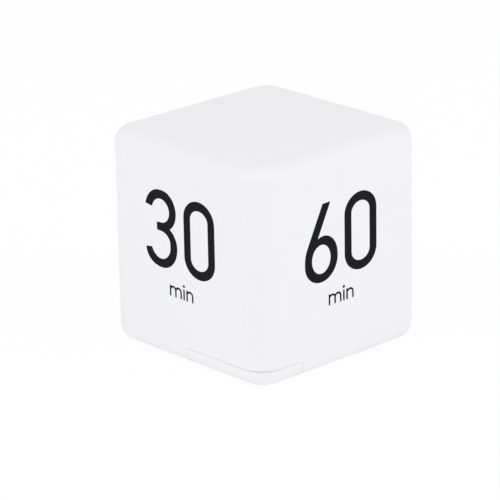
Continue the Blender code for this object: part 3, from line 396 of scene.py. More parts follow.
inset, rise = rounding(level_radius)
inner_inset, inner_rise = rounding(level_radius - wall)
inner = half - wall
inner_corner = upright_radius - wall
opening = plate_edge + seam
opening_corner = plate_corner + seam
shell_half = np.concatenate(
    (
        inner - inner_inset,
        (inner, throat, throat, opening, opening, opening + rim_edge),
        half - inset,
        half - inset[::-1],
    )
)
shell_corner = np.concatenate(
    (
        inner_corner - inner_inset,
        (inner_corner, throat_corner, throat_corner),
        (opening_corner, opening_corner, opening_corner + rim_edge),
        upright_radius - inset,
        upright_radius - inset[::-1],
    )
)
shell_level = np.concatenate(
    (
        side - ink - wall - inner_rise,
        (ledge_top, ledge_top, ledge_level, ledge_level, rim_edge, 0.0),
        rise,
        side - rise[::-1],
    )
)
shell = skin("casing_shell", rings(shell_half, shell_half, shell_corner, shell_level))
cut(shell, corner_space(seam / 2))
ceiling = side - wall / 2
for x, y in case_screw_places:
    wall_x = math.copysign(half - wall / 2, x)
    wall_y = math.copysign(half - wall / 2, y)
    thick = rib_thickness / 2
    join(
        shell,
        rod(x, y, post_level, ceiling, post_radius),
        tower(min(x, wall_x), max(x, wall_x), y - thick, y + thick, rib_level, side - wall),
        tower(x - thick, x + thick, min(y, wall_y), max(y, wall_y), rib_level, side - wall),
    )
    cut(shell, rod(x, y, post_level - overrun, pilot_end, pilot_radius))


def surface_group(name, takes, stretch, detail, patch_share, patch_size, low, high):
    """An uneven, finely grained surface. Shade and Roughness drift slowly over it, and Height is
    the grain, which a share below 1 stretches along X.
    """
    group = bpy.data.node_groups.new(name, "ShaderNodeTree")
    for socket, default in takes.items():
        made = group.interface.new_socket(socket, in_out="INPUT", socket_type="NodeSocketFloat")
        made.default_value = default
    for socket in ("Shade", "Roughness", "Height"):
        group.interface.new_socket(socket, in_out="OUTPUT", socket_type="NodeSocketFloat")
    given = add_node(group, "NodeGroupInput")
    place = add_node(group, "ShaderNodeTexCoord")["Object"]
    drawn = add_node(group, "ShaderNodeMapping", {"Vector": place, "Scale": (stretch, 1.0, 1.0)})[0]
    fine = arithmetic(group, "DIVIDE", 1.0, given["Grain size"])
    grain = add_node(
        group, "ShaderNodeTexNoise", {"Vector": drawn, "Scale": fine, "Detail": detail}
    )["Fac"]
    coarse = arithmetic(group, "DIVIDE", patch_share, given[patch_size])
    drift = add_node(
        group, "ShaderNodeTexNoise", {"Vector": place, "Scale": coarse, "Detail": 2.0}
    )["Fac"]
    least = arithmetic(group, "SUBTRACT", given["Gloss"], given["Gloss spread"])
    most = arithmetic(group, "ADD", given["Gloss"], given["Gloss spread"])
    span = {"Value": drift, "From Min": low, "From Max": high, "To Min": least, "To Max": most}
    gloss = add_node(group, "ShaderNodeMapRange", span)[0]
    add_node(group, "NodeGroupOutput", {"Shade": drift, "Roughness": gloss, "Height": grain})
    return group


def blend(tree, share, dark, light):
    """A colour between two others, each of them a colour or another node's output."""
    return add_node(tree, "ShaderNodeMix", {0: share, 6: dark, 7: light}, data_type="RGBA")[2]


def surfaced(name, group, sizes):
    """A material whose tree has a surface group, the tree, and the group's outputs."""
    material, tree = blank_material(name)
    return material, tree, add_node(tree, "ShaderNodeGroup", sizes, node_tree=group)


def close_material(tree, color, roughness, height, depth, **sockets):
    """The end of a material. Other shader values are given by socket name, with _ for a space."""
    inputs = {socket.replace("_", " "): value for socket, value in sockets.items()}
    inputs["Normal"] = add_node(tree, "ShaderNodeBump", {"Height": height, "Distance": depth})[0]
    inputs.update({"Base Color": color, "Roughness": roughness})
    shader = add_node(tree, "ShaderNodeBsdfPrincipled", inputs)[0]
    add_node(tree, "ShaderNodeOutputMaterial", {"Surface": shader})


# The satin of a spark-eroded mould.
satin = surface_group(
    "moulded_satin",
    {"Grain size": 0.25 * mm, "Patch size": 9.0 * mm, "Gloss": 0.4, "Gloss spread": 0.06},
    stretch=1.0, detail=3.0, patch_share=1.0, patch_size="Patch size", low=0.25, high=0.75,
)


def moulded(
    name, dark, light, gloss, grain_depth=0.004 * mm, grain_size=0.25 * mm, group=satin, **sockets
):
    """A material that drifts between two near colours, with an uneven gloss and a fine grain."""
    sizes = {"Grain size": grain_size, "Gloss": gloss}
    material, tree, surface = surfaced(name, group, sizes)
    color = blend(tree, surface["Shade"], (*dark, 1.0), (*light, 1.0))
    close_material(tree, color, surface["Roughness"], surface["Height"], grain_depth, **sockets)
    return material


white_abs = moulded("white_abs", (0.862, 0.862, 0.897), (0.882, 0.882, 0.917), 0.42)
present(shell, "white_plastic", white_abs, "main_shell", edge=0.05 * mm)


# Numbers and the word "min"
# Black ink, pad printed on the four upright faces. The numerals are about 23 mm tall, drawn with an
# even stroke of 2.7 mm. Their outlines are given in mm from the middle of the face.
arc_steps = 24
ease_reach = 0.3
ease_steps = 6
eased_bend = math.radians(30.0)  # a corner that turns by more is eased
same_point = 0.01
cap_middle = 5.65  # of a nought's two round ends, from its middle
nought_outside = (6.26, 5.78)  # half width and height of a round end
nought_inside = (3.55, 3.08)
pen = 0.58  # stroke of the small letters
small_height = 3.18
arch_foot = 1.85
min_width = 9.75
m_width = 4.95
n_width = 2.9
dot_height = 4.08
dot_radius = 0.39
dot_stretch = 1.2
face_turns = {"30": 0.0, "60": 90.0, "5": 180.0, "15": 270.0}  # about Z, from the -Y face


def arc(u, v, radius_u, radius_v, start, end):
    """Points of an elliptical arc: (u + radius_u cos t, v + radius_v sin t), t in degrees."""
    t = np.radians(np.linspace(start, end, arc_steps + 1))
    return np.column_stack((u + radius_u * np.cos(t), v + radius_v * np.sin(t)))


def ellipse(u, v, radius_u, radius_v):
    """Points of a whole ellipse."""
    return arc(u, v, radius_u, radius_v, 0.0, 360.0)[:-1]


def outline(*stretches):
    """One closed outline through arcs and single points, with its sharp corners eased.

    An eased corner P is the curve (1-t)^2 A + 2t(1-t) P + t^2 B between the points A and B that
    lie ease_reach before and after it along the outline.
    """
    points = np.vstack([np.atleast_2d(stretch) for stretch in stretches])
    step = np.linalg.norm(np.roll(points, -1, axis=0) - points, axis=1)
    points = points[step > same_point]
    step = np.roll(points, -1, axis=0) - points
    length = np.linalg.norm(step, axis=1)
    heading = np.unwrap(np.arctan2(step[:, 1], step[:, 0]))
    bend = heading - np.roll(heading, 1)
    bend = np.abs((bend + math.pi) % (2 * math.pi) - math.pi)
    along = np.concatenate(((0.0,), np.cumsum(length)))
    total = along[-1]
    closed = np.vstack((points, points[:1]))

    def at(distance):
        return np.column_stack(
            [np.interp(distance % total, along, closed[:, axis]) for axis in (0, 1)]
        )

    t = np.linspace(0.0, 1.0, ease_steps + 1)[:, None]
    corners = np.flatnonzero(bend > eased_bend)
    eased = []
    covered = np.zeros(len(points), bool)
    for corner in corners:
        middle = along[corner]
        apart = np.abs((along[:-1] - middle + total / 2) % total - total / 2)
        covered |= apart < ease_reach
        before, after = at(np.array((middle - ease_reach, middle + ease_reach)))
        curve = (1 - t) ** 2 * before + 2 * t * (1 - t) * points[corner] + t**2 * after
        eased.append((middle, curve))
    kept = [(along[i], points[i : i + 1]) for i in np.flatnonzero(~covered)]
    ordered = sorted(kept + eased, key=lambda stretch: stretch[0])
    return np.vstack([stretch for _, stretch in ordered])


def zero(u, v):
    """A nought: two half ellipses joined by straight sides, inside and outside."""
    loops = []
    for half_width, cap_height in (nought_outside, nought_inside):
        top = arc(u, v + cap_middle, half_width, cap_height, 0.0, 180.0)
        bottom = arc(u, v - cap_middle, half_width, cap_height, 180.0, 360.0)
        loops.append(np.vstack((top, bottom)))
    return loops


three = [
    outline(
        arc(-8.43, 11.4, 6.29, 6.63, 167.2, 90.0), arc(-7.59, 12.17, 5.62, 5.86, 90.0, -58.4),
        arc(-7.6, 2.05, 5.92, 5.9, 60.2, 0.0), arc(-8.2, 2.05, 6.52, 6.86, 0.0, -90.0),
        arc(-8.5, 0.0, 6.15, 4.81, -90.0, -181.6), arc(-8.51, 2.02, 4.01, 4.3, -158.7, 0.0),
        arc(-8.4, 2.9, 3.84, 3.07, 0.0, 90.0), (-9.97, 6.06), (-9.97, 8.33),
        arc(-8.27, 11.93, 3.52, 3.48, -90.0, 170.4),
    ),
]
six = [
    outline(
        (-7.87, 17.5), (-4.88, 17.53), arc(-7.65, 1.95, 5.39, 6.2, 114.0, 0.0),
        arc(-8.7, 1.4, 6.47, 6.6, 0.0, -90.0), arc(-8.7, 0.7, 6.13, 5.9, -90.0, -180.0),
        arc(-8.7, 1.4, 6.13, 7.9, 180.0, 146.4),
    ),
    ellipse(-8.55, 1.53, 3.59, 4.22),
]


def five(u):
    """A five centred on u: bar, stem and a bowl like the lower half of the three."""
    return [
        outline(
            (u - 4.85, 17.9), (u + 5.15, 17.9), (u + 5.15, 15.2), (u - 2.6, 15.2), (u - 2.95, 9.35),
            arc(u - 0.1, 2.35, 6.35, 7.15, 108.0, -90.0),
            arc(u - 0.4, 0.0, 6.15, 4.8, -90.0, -181.6), arc(u - 0.4, 2.2, 4.0, 4.3, -158.7, -90.0),
            arc(u - 0.15, 2.35, 3.75, 4.45, -90.0, 138.0), (u - 3.35, 4.9), (u - 5.75, 5.2),
        ),
    ]


def one(u):
    """A one with its stem centred on u and a short flag."""
    return [
        outline(
            (u + 1.36, -4.8), (u + 1.36, 17.9), (u - 1.0, 17.9), (u - 5.2, 14.7), (u - 5.2, 11.75),
            (u - 1.36, 14.55), (u - 1.36, -4.8),
        ),
    ]


def arched_letter(u, v, width, arches):
    """An n or an m: a stem, then one or two arches whose outer and inner sides are half ellipses."""
    pitch = (width - pen) / arches
    radius = (pitch + pen) / 2
    notch = math.degrees(math.acos(1 - pen / radius))
    crotch = math.degrees(math.acos(1 - pen / (2 * radius)))
    points = [np.array(((0.0, 0.0), (0.0, small_height), (pen, small_height)))]
    for i in range(arches):
        start = 180.0 - (crotch if i else notch)
        end = crotch if i < arches - 1 else 0.0
        middle = radius + pitch * i
        points.append(arc(middle, arch_foot, radius, small_height - arch_foot, start, end))
    for i in reversed(range(arches)):
        outer = width - pitch * (arches - 1 - i)
        middle = radius + pitch * i
        points.append(np.array(((outer, 0.0), (outer - pen, 0.0))))
        rise = small_height - arch_foot - pen
        points.append(arc(middle, arch_foot, radius - pen, rise, 0.0, 180.0))
    points.append(np.array(((pen, 0.0),)))
    return np.vstack(points) + (u, v)


def word_min(u, v):
    """The word min, centred on u with its foot at v."""
    m = u - min_width / 2
    n = u + min_width / 2 - n_width
    i = (m + m_width + n - pen) / 2
    stem = np.array(((0.0, 0.0), (pen, 0.0), (pen, small_height), (0.0, small_height)))
    return [
        arched_letter(m, v, m_width, 2),
        stem + (i, v),
        ellipse(i + pen / 2, v + dot_height, dot_stretch * dot_radius, dot_radius),
        arched_letter(n, v, n_width, 1),
    ]


def flat_print(name, loops, place):
    """Fills outlines in a plane, twice the ink thick, and puts them in place on a face."""
    curve = bpy.data.curves.new(name, "CURVE")
    curve.dimensions = "2D"
    curve.fill_mode = "BOTH"
    curve.extrude = ink
    for loop in loops:
        spline = curve.splines.new("POLY")
        spline.use_cyclic_u = True
        spline.points.add(len(loop) - 1)
        rows = np.column_stack((loop * mm, np.zeros(len(loop)), np.ones(len(loop))))
        spline.points.foreach_set("co", rows.ravel())
    flat = add_object(name, curve)
    mesh = built_mesh(flat)
    bpy.data.objects.remove(flat, do_unlink=True)
    mesh.transform(place)
    return add_object(name, mesh)


def side_place(turn):
    """From a face's own plane to an upright side: right along it, up, and out."""
    stand = Matrix.Rotation(math.pi / 2, 4, "X")
    lift = Matrix.Translation((0.0, -half, side / 2))
    return Matrix.Rotation(math.radians(turn), 4, "Z") @ lift @ stand


black_ink = moulded(
    "black_ink", (0.006, 0.0055, 0.009), (0.009, 0.0085, 0.013), 0.5, Specular_IOR_Level=0.06
)
prints = {
    "30": three + zero(7.47, 6.64) + word_min(-0.35, -12.35),
    "60": six + zero(6.76, 6.27) + word_min(-0.97, -12.75),
    "5": five(-0.5) + word_min(-0.5, -12.55),
    "15": one(-6.55) + five(4.25) + word_min(-0.5, -12.55),
}
for minutes, loops in prints.items():
    item = flat_print(f"print_{minutes}_min", loops, side_place(face_turns[minutes]))
    present(item, "epoxy_black", black_ink, edge=None)


# Display plate
# A flush moulded plate in the same white ABS closes the cube and is the face it rests on. It has
# the window, the lamp's hole, the switch's pocket, the sound holes, and three sunk screw holes.
plate_thickness = 2.0 * mm
boss_radius = 3.4 * mm
boss_top = 3.6 * mm
head_bore = 2.3 * mm
head_bore_depth = 2.4 * mm
screw_hole = 1.3 * mm
board_post_radius = 2.2 * mm
board_level = 8.4 * mm
board_post_places = ((-22.4 * mm, 6.0 * mm), (22.4 * mm, 6.0 * mm), (-8.6 * mm, -22.4 * mm))
ear_places = ((3.45 * mm, -12.9 * mm), (22.75 * mm, -12.9 * mm))
ear_post_top = 3.5 * mm
display_y = 8.75 * mm
opening_size = (28.0 * mm, 13.0 * mm)
window_size = (30.4 * mm, 15.4 * mm)
window_corner = 1.2 * mm
window_level = 0.1 * mm
window_top = 0.8 * mm
lamp_place = (21.5 * mm, -5.5 * mm)
lamp_hole = 2.8 * mm
sounder_place = (-12.65 * mm, -10.3 * mm)
sounder_ring = 7.0 * mm
sounder_seat = 6.3 * mm
sounder_step = 5.2 * mm
sounder_step_top = 2.6 * mm
sounder_ring_top = 3.8 * mm
sound_hole = 0.75 * mm
sound_circle = 3.2 * mm
sound_holes = 6
switch_place = (9.5 * mm, -7.6 * mm)
pocket_size = (11.6 * mm, 5.6 * mm)
pocket_depth = 1.0 * mm
pocket_corner = 1.5 * mm
knob_slot = (7.7 * mm, 3.2 * mm)

whole_plate = (0.0, 0.0, 2 * plate_edge, 2 * plate_edge)
plate = skin(
    "display_plate", block(*whole_plate, ink, plate_thickness, plate_corner, bottom=rim_edge)
)
sunk = plate_thickness / 2
for x, y in case_screw_places:
    join(plate, rod(x, y, sunk, boss_top, boss_radius))
    cut(
        plate,
        rod(x, y, -overrun, head_bore_depth, head_bore),
        rod(x, y, sunk, boss_top + overrun, screw_hole),
    )
for x, y in board_post_places:
    join(plate, rod(x, y, sunk, board_level - play, board_post_radius))
    cut(plate, rod(x, y, plate_thickness, board_level, pilot_radius))
for x, y in ear_places:
    join(plate, rod(x, y, sunk, ear_post_top, board_post_radius))
    cut(plate, rod(x, y, sunk, ear_post_top + overrun, pilot_radius))
x, y = sounder_place
join(plate, rod(x, y, sunk, sounder_ring_top, sounder_ring))
cut(
    plate,
    rod(x, y, sounder_step_top, sounder_ring_top + overrun, sounder_seat),
    rod(x, y, plate_thickness, sounder_ring_top, sounder_step),
)
for i in range(sound_holes):
    angle = 2 * math.pi * i / sound_holes
    hole_x = x + sound_circle * math.cos(angle)
    hole_y = y + sound_circle * math.sin(angle)
    cut(plate, rod(hole_x, hole_y, -overrun, sounder_ring_top, sound_hole))
cut(plate, rod(x, y, -overrun, sounder_ring_top, sound_hole))
window_opening = (window_size[0] + 2 * seam, window_size[1] + 2 * seam)
past_plate = plate_thickness + overrun
cut(
    plate,
    block(0.0, display_y, *opening_size, -overrun, past_plate, window_corner),
    block(0.0, display_y, *window_opening, -overrun, window_top + play, window_corner + seam),
    rod(*lamp_place, -overrun, past_plate, lamp_hole),
    block(*switch_place, *pocket_size, -overrun, pocket_depth, pocket_corner),
    block(*switch_place, *knob_slot, -overrun, past_plate, seam),
    corner_space(seam / 2),
)
present(plate, "white_plastic", white_abs, "bottom_plate", edge=0.06 * mm)


# Battery door
# A corner of the cube in white ABS that slides out sideways: a floor with two low walls, thumb
# grooves below, and inside it two tongues and the pegs of the contact sheet.
door_recess = 0.1 * mm
door_wall = 1.8 * mm
door_floor = door_recess + door_wall
tongue_width = 5.0 * mm
tongue_top = 3.5 * mm
tongue_root = 1.7 * mm
tongue_inset = 0.2 * mm
tongue_spacing = 8.4 * mm
tongue_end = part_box("battery_door")[1].y
grip_size = (9.0 * mm, 0.8 * mm)
grip_pitch = 1.7 * mm
grip_top = 0.5 * mm
grips = 3
cell_y = -22.7 * mm
cell_a_x = 10.55 * mm
cell_b_x = 21.45 * mm
cells_x = (cell_a_x + cell_b_x) / 2
peg_radius = 0.8 * mm
peg_top = 2.8 * mm
peg_spacing = 6.6 * mm
door_sink = 0.14 * mm
sink_reach = 5.0 * mm
door_rise = 0.03 * mm
rise_from = -24.0 * mm
rise_to = -19.0 * mm

door = skin("corner_door", tower(
    -half, half, -half, half, door_recess, side, upright_radius, bottom=level_radius,
    top=level_radius,
))
change(door, (corner_space(-seam / 2),), "INTERSECT")
cut(door, tower(
    door_x - upright_radius, half - door_wall, door_wall - half, door_y + upright_radius,
    door_floor, door_height + level_radius, upright_radius - door_wall,
    bottom=level_radius - door_wall,
))
door_edge = door_y - seam / 2
tongue_middle = (ear_places[0][0] + ear_places[1][0]) / 2
for x in (tongue_middle - tongue_spacing / 2, tongue_middle + tongue_spacing / 2):
    left, right = x - tongue_width / 2, x + tongue_width / 2
    root = door_edge - tongue_root
    join(
        door,
        tower(left, right, root, door_edge - tongue_inset, sunk, tongue_top),
        tower(left, right, (root + door_edge) / 2, tongue_end, ledge_level, tongue_top),
    )
for i in range(grips):
    y = cell_y + grip_pitch * (i - grips + 1)
    cut(door, block(cells_x, y, *grip_size, -overrun, grip_top, grip_size[1] / 2))
for y in (cell_y - peg_spacing / 2, cell_y + peg_spacing / 2):
    join(door, rod(cells_x, y, sunk, peg_top, peg_radius))
# The moulding has sunk a little at the cube's edge, which widens the seam there, and stands up
# towards its end on the 60 minute side. With the share of the height cubed, a point is lower by
# door_sink exp(-(distance / sink_reach)^2) and higher by door_rise, from rise_from to rise_to.
points = np.empty(3 * len(door.data.vertices))
door.data.vertices.foreach_get("co", points)
points = points.reshape(-1, 3)
apart = np.hypot(points[:, 0] - half, points[:, 1] + half)
share = (points[:, 2] / door_height) ** 3
along = (points[:, 1] - rise_from) / (rise_to - rise_from)
points[:, 2] -= door_sink * share * np.exp(-((apart / sink_reach) ** 2))
points[:, 2] += door_rise * share * np.clip(along, 0.0, 1.0)
door.data.vertices.foreach_set("co", points.ravel())
present(door, "white_plastic", white_abs, "battery_door", body="door", edge=0.05 * mm)


# Battery door's contact
# A nickel-plated sheet on the door's pegs joins the two cells. It has a pressed bump under one cell
# and a cone spring of plated steel wire under the other, and goes with the door.
sheet = 0.3 * mm
sheet_edge = 0.05 * mm
bridge_level = 2.2 * mm
bridge_size = (19.9 * mm, 9.0 * mm)
bridge_corner = 1.0 * mm
peg_hole = 1.0 * mm
bump_height = 1.0 * mm
bump_radius = 2.2 * mm
bump_steps = 12
spring_wire = 0.25 * mm
spring_base = 3.4 * mm
spring_tip = 2.2 * mm
spring_turns = 3
turn_steps = 32
wire_sides = 14
bridge_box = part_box("bridge_spring")
negative_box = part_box("spring_negative")

# Rolled and plated sheet: long streaks along X, blotches in the gloss, and a shallow grain.
rolled = surface_group(
    "rolled_sheet",
    {"Grain size": 0.4 * mm, "Gloss": 0.28, "Gloss spread": 0.08},
    stretch=0.08, detail=4.0, patch_share=0.15, patch_size="Grain size", low=0.3, high=0.7,
)


def plated(name, dark, light, gloss, streak_size=0.4 * mm):
    """A metal with a rolled or drawn surface, in two near colours."""
    return moulded(name, dark, light, gloss, 0.003 * mm, streak_size, rolled, Metallic=1.0)


def bump_rings(x, low, high, low_radius, high_radius):
    """Rings of a pressed bump, whose side is half a wave: the radius follows a cosine."""
    t = np.linspace(0.0, math.pi, bump_steps + 1)
    radius = high_radius + (low_radius - high_radius) * (1 + np.cos(t)) / 2
    level = low + (high - low) * t / math.pi
    return turned(np.column_stack((radius, level)), x, cell_y, sides=48)


def cone_spring(x, z0, z1, low_radius, high_radius):
    """Rings of a wire spring: a circle carried along a helix.

    The helix's radius runs evenly between two values. The circle stays in the plane of its outward
    and upright directions.
    """
    s = np.linspace(0.0, 1.0, spring_turns * turn_steps + 1)[:, None]
    turn = 2 * math.pi * spring_turns * s
    around = np.linspace(2 * math.pi, 0.0, wire_sides, endpoint=False)
    radius = low_radius + (high_radius - low_radius) * s + spring_wire * np.cos(around)
    level = z0 + spring_wire + (z1 - z0 - 2 * spring_wire) * s + spring_wire * np.sin(around)
    return about_axis(radius, turn, level, x, cell_y)


nickel = plated("nickel_plate", (0.56, 0.54, 0.5), (0.68, 0.66, 0.62), 0.26)
spring_steel = plated("spring_steel", (0.5, 0.49, 0.47), (0.62, 0.61, 0.58), 0.22, 0.2 * mm)

bridge_top = bridge_level + sheet
bridge = skin(
    "bridge_sheet", block(cells_x, cell_y, *bridge_size, bridge_level, bridge_top, bridge_corner)
)
pressed_from = bridge_level + sheet / 2
pressed_to = bridge_top + bump_height
join(bridge, bump_rings(cell_a_x, pressed_from, pressed_to, bump_radius, bump_radius / 2))
for y in (cell_y - peg_spacing / 2, cell_y + peg_spacing / 2):
    cut(bridge, rod(cells_x, y, bridge_level - overrun, bridge_top + overrun, peg_hole))
present(bridge, "contact_nickel", nickel, "bridge_contact", body="door", edge=sheet_edge)
coil = cone_spring(cell_b_x, bridge_box[0].z, bridge_box[1].z, spring_base, spring_tip)
piece("door_spring", coil, "contact_nickel", spring_steel, "bridge_spring", body="door")


# Cells
# Two AAA cells stand on end over the door. Each is a drawn steel can with a plated button, in a
# shrunk plastic sleeve that is printed with a light band at the button's end.
cell_radius = 5.25 * mm
cell_length = 44.5 * mm
button_radius = 1.9 * mm
button_height = 0.8 * mm
button_edge = 0.25 * mm
sleeve_thickness = 0.08 * mm
sleeve_shoulder = 0.55 * mm
sleeve_lip = 4.35 * mm
can_radius = cell_radius - 1.5 * sleeve_thickness
shoulder_radius = 4.1 * mm
band_length = 11.0 * mm
cells = {"cell_a": (cell_a_x, 3.8 * mm, False), "cell_b": (cell_b_x, 5.4 * mm, True)}


def edge_arc(radius, level, size, start, end, steps=6):
    """Points of a turned profile's rounded edge: (radius, level) plus size times (cos t, sin t)."""
    t = np.radians(np.linspace(start, end, steps + 1))
    return np.column_stack((radius + size * np.cos(t), level + size * np.sin(t)))


def curl(radius, level, size, turn):
    """An edge_arc just inside a radius and below a level, or above it for a negative turn."""
    middle = level - math.copysign(size, turn)
    return edge_arc(radius - size, middle, size, min(turn, 0.0), max(turn, 0.0))


def stood(profile, button_up):
    """A cell's profile, given from the flat end up, or the same with the button down."""
    profile = np.vstack([np.atleast_2d(stretch) for stretch in profile])
    if button_up:
        return profile
    return np.column_stack((profile[::-1, 0], cell_length - profile[::-1, 1]))


def sleeve_film(name, band_from, band_to):
    """Printed film: deep blue with a pale band between two heights, under a clear gloss."""
    material, tree, surface = surfaced(name, satin, {"Gloss": 0.25, "Grain size": 0.8 * mm})
    place = add_node(tree, "ShaderNodeTexCoord")["Object"]
    height = add_node(tree, "ShaderNodeSeparateXYZ", {0: place})["Z"]
    above = arithmetic(tree, "GREATER_THAN", height, band_from)
    below = arithmetic(tree, "LESS_THAN", height, band_to)
    band = arithmetic(tree, "MULTIPLY", above, below)
    blue = blend(tree, surface["Shade"], (0.012, 0.04, 0.16, 1.0), (0.02, 0.06, 0.22, 1.0))
    color = blend(tree, band, blue, (0.62, 0.63, 0.64, 1.0))
    close_material(
        tree, color, surface["Roughness"], surface["Height"], 0.004 * mm,
        Coat_Weight=0.5, Coat_Roughness=0.1,
    )
    return material


body_end = cell_length - button_height
inner_radius = cell_radius - sleeve_thickness
for name, (x, level, button_up) in cells.items():
    can_profile = (
        (shoulder_radius, 0.0),
        curl(can_radius, 0.0, sleeve_shoulder, -60.0),
        curl(can_radius, body_end, sleeve_shoulder, 60.0),
        (shoulder_radius, body_end),
        (button_radius + button_edge, body_end),
        curl(button_radius, cell_length, button_edge, 90.0),
    )
    can = turned(stood(can_profile, button_up), x, cell_y, level)
    piece(f"{name}_can", can, "contact_nickel", nickel, name)
    film_profile = (
        (sleeve_lip, 0.0),
        curl(cell_radius, 0.0, sleeve_shoulder, -90.0),
        curl(cell_radius, body_end, sleeve_shoulder, 90.0),
        (sleeve_lip, body_end),
        (sleeve_lip, body_end - sleeve_thickness),
        (inner_radius - sleeve_shoulder, body_end - sleeve_thickness),
        (inner_radius, body_end - sleeve_shoulder),
        (inner_radius, sleeve_shoulder),
        (inner_radius - sleeve_shoulder, sleeve_thickness),
        (sleeve_lip, sleeve_thickness),
    )
    film = turned(stood(film_profile, button_up), x, cell_y, level)
    button_end = level + (body_end if button_up else button_height)
    far = button_end - band_length if button_up else button_end + band_length
    printed = sleeve_film(f"{name}_film", min(button_end, far), max(button_end, far))
    piece(f"{name}_sleeve", film, "cell_jacket", printed, name, hollow=True)


# Battery holder
# A deep well in white ABS for the two cells, closed at the top. A flange round its mouth and two
# ears are screwed down, and a notch in front lets the door's spring slide out.
well_x0, well_x1 = (3.85 * mm, 28.15 * mm)
well_y0, well_y1 = (-29.4 * mm, -16.0 * mm)
well_wall = 1.1 * mm
well_corner = 5.0 * mm
well_top = 52.5 * mm
well_ceiling = 51.4 * mm
flange_level = 3.8 * mm
flange_top = 5.0 * mm
flange_margin = 0.5 * mm
ear_radius = 2.4 * mm
ear_corner = 1.4 * mm
notch_top = 5.4 * mm
notch_half = 3.95 * mm
tail_slot = (2.8 * mm, 0.9 * mm)

holder = skin("cell_well", tower(
    well_x0, well_x1, well_y0, well_y1, (flange_level + flange_top) / 2, well_top, well_corner,
    top=well_wall,
))
margin = door_wall + flange_margin
join(holder, tower(
    door_x + flange_margin, side / 2 - margin, margin - side / 2, well_y1, flange_level, flange_top,
    upright_radius - margin,
))
for x, y in ear_places:
    join(holder, tower(
        x - ear_radius, x + ear_radius, well_y0 + well_corner, y + ear_radius, flange_level,
        flange_top, ear_corner,
    ))
    cut(holder, rod(x, y, flange_level - overrun, flange_top + overrun, screw_hole))
below_flange = flange_level - overrun
cut(
    holder,
    tower(
        well_x0 + well_wall, well_x1 - well_wall, well_y0 + well_wall, well_y1 - well_wall,
        below_flange, well_ceiling, well_corner - well_wall,
    ),
    tower(
        cell_b_x - notch_half, cell_b_x + notch_half, well_y0 - overrun, cell_y,
        below_flange, notch_top,
    ),
)
for x in (cell_a_x, cell_b_x):
    cut(holder, block(x, cell_y, *tail_slot, well_ceiling - overrun, well_top + overrun))
present(holder, "white_plastic", white_abs, "battery_holder", edge=0.06 * mm)


# Upper contacts
# Two nickel-plated sheets under the well's ceiling, with their tails through it. The negative one
# carries a cone spring, wide end up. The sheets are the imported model's own.


def finish_node(name, material):
    """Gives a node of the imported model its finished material."""
    for slot in nodes[name].material_slots:
        slot.material = material


for name in ("contact_negative", "contact_positive"):
    finish_node(name, nickel)
coil = cone_spring(cell_a_x, negative_box[0].z, negative_box[1].z, spring_tip, spring_base)
piece("negative_spring", coil, "contact_nickel", spring_steel, "spring_negative")


# Screws
# Pan-head screws of plated steel with a cross recess and a coarse thread for plastic. Three hold
# the display plate from below, two the battery holder and three the board.
head_radius = 1.9 * mm
head_height = 1.3 * mm
head_round = 0.7 * mm
shank_radius = 1.0 * mm
thread_depth = 0.22 * mm
thread_pitch = 0.8 * mm
point_length = 1.2 * mm
point_radius = 0.2 * mm
cross = (2.2 * mm, 0.5 * mm)
cross_depth = 0.7 * mm
seat_gap = 0.3 * mm
thread_sides = 40


def screw(name, x, y, seat, shank, points_up):
    """A screw on its seat. Its thread's radius falls from the crest by the depth times
    1 - |2 f - 1|, f being the fraction of a turn at height / pitch - angle / full turn.
    """
    t = full_turn(thread_sides)
    head = curl(head_radius, -head_height, head_round, -90.0)
    neck = ((head_radius, 0.0), (shank_radius, 0.0), (shank_radius, shank_radius / 4))
    height = np.arange(shank_radius / 2, shank - point_length, thread_pitch / 10)
    stem = np.column_stack((np.full(len(height), shank_radius), height))
    point = (
        (shank_radius - thread_depth, shank - point_length + thread_pitch / 5),
        (point_radius, shank),
    )
    radius, height = np.vstack((head, neck, stem, point)).T[:, :, None]
    threaded = np.zeros((len(radius), 1))
    threaded[len(head) + len(neck) : -len(point)] = 1.0
    part_turn = (height / thread_pitch - t / (2 * math.pi)) % 1.0
    radius = radius - thread_depth * (1 - np.abs(2 * part_turn - 1)) * threaded
    item = skin(name, about_axis(radius, t, height))
    for length, width in (cross, cross[::-1]):
        end = cross_depth - head_height
        cut(item, block(0.0, 0.0, length, width, -head_height - overrun, end))
    turn = Matrix.Rotation(0.0 if points_up else math.pi, 4, "X")
    gap = -seat_gap if points_up else seat_gap
    place = Matrix.Translation((x, y, seat + gap)) @ turn
    present(item, "screw_steel", zinc, name, place=place)


zinc = plated("zinc_plate", (0.5, 0.5, 0.52), (0.62, 0.62, 0.64), 0.3, 0.25 * mm)
case_shank = 8.0 * mm
short_shank = 3.6 * mm
board_top = 10.0 * mm
for i, (x, y) in enumerate(case_screw_places, 1):
    screw(f"case_screw_{i}", x, y, head_bore_depth, case_shank, True)
for i, (x, y) in enumerate(ear_places, 1):
    screw(f"holder_screw_{i}", x, y, flange_top, short_shank, False)
for i, (x, y) in enumerate(board_post_places, 1):
    screw(f"board_screw_{i}", x, y, board_top, short_shank, False)


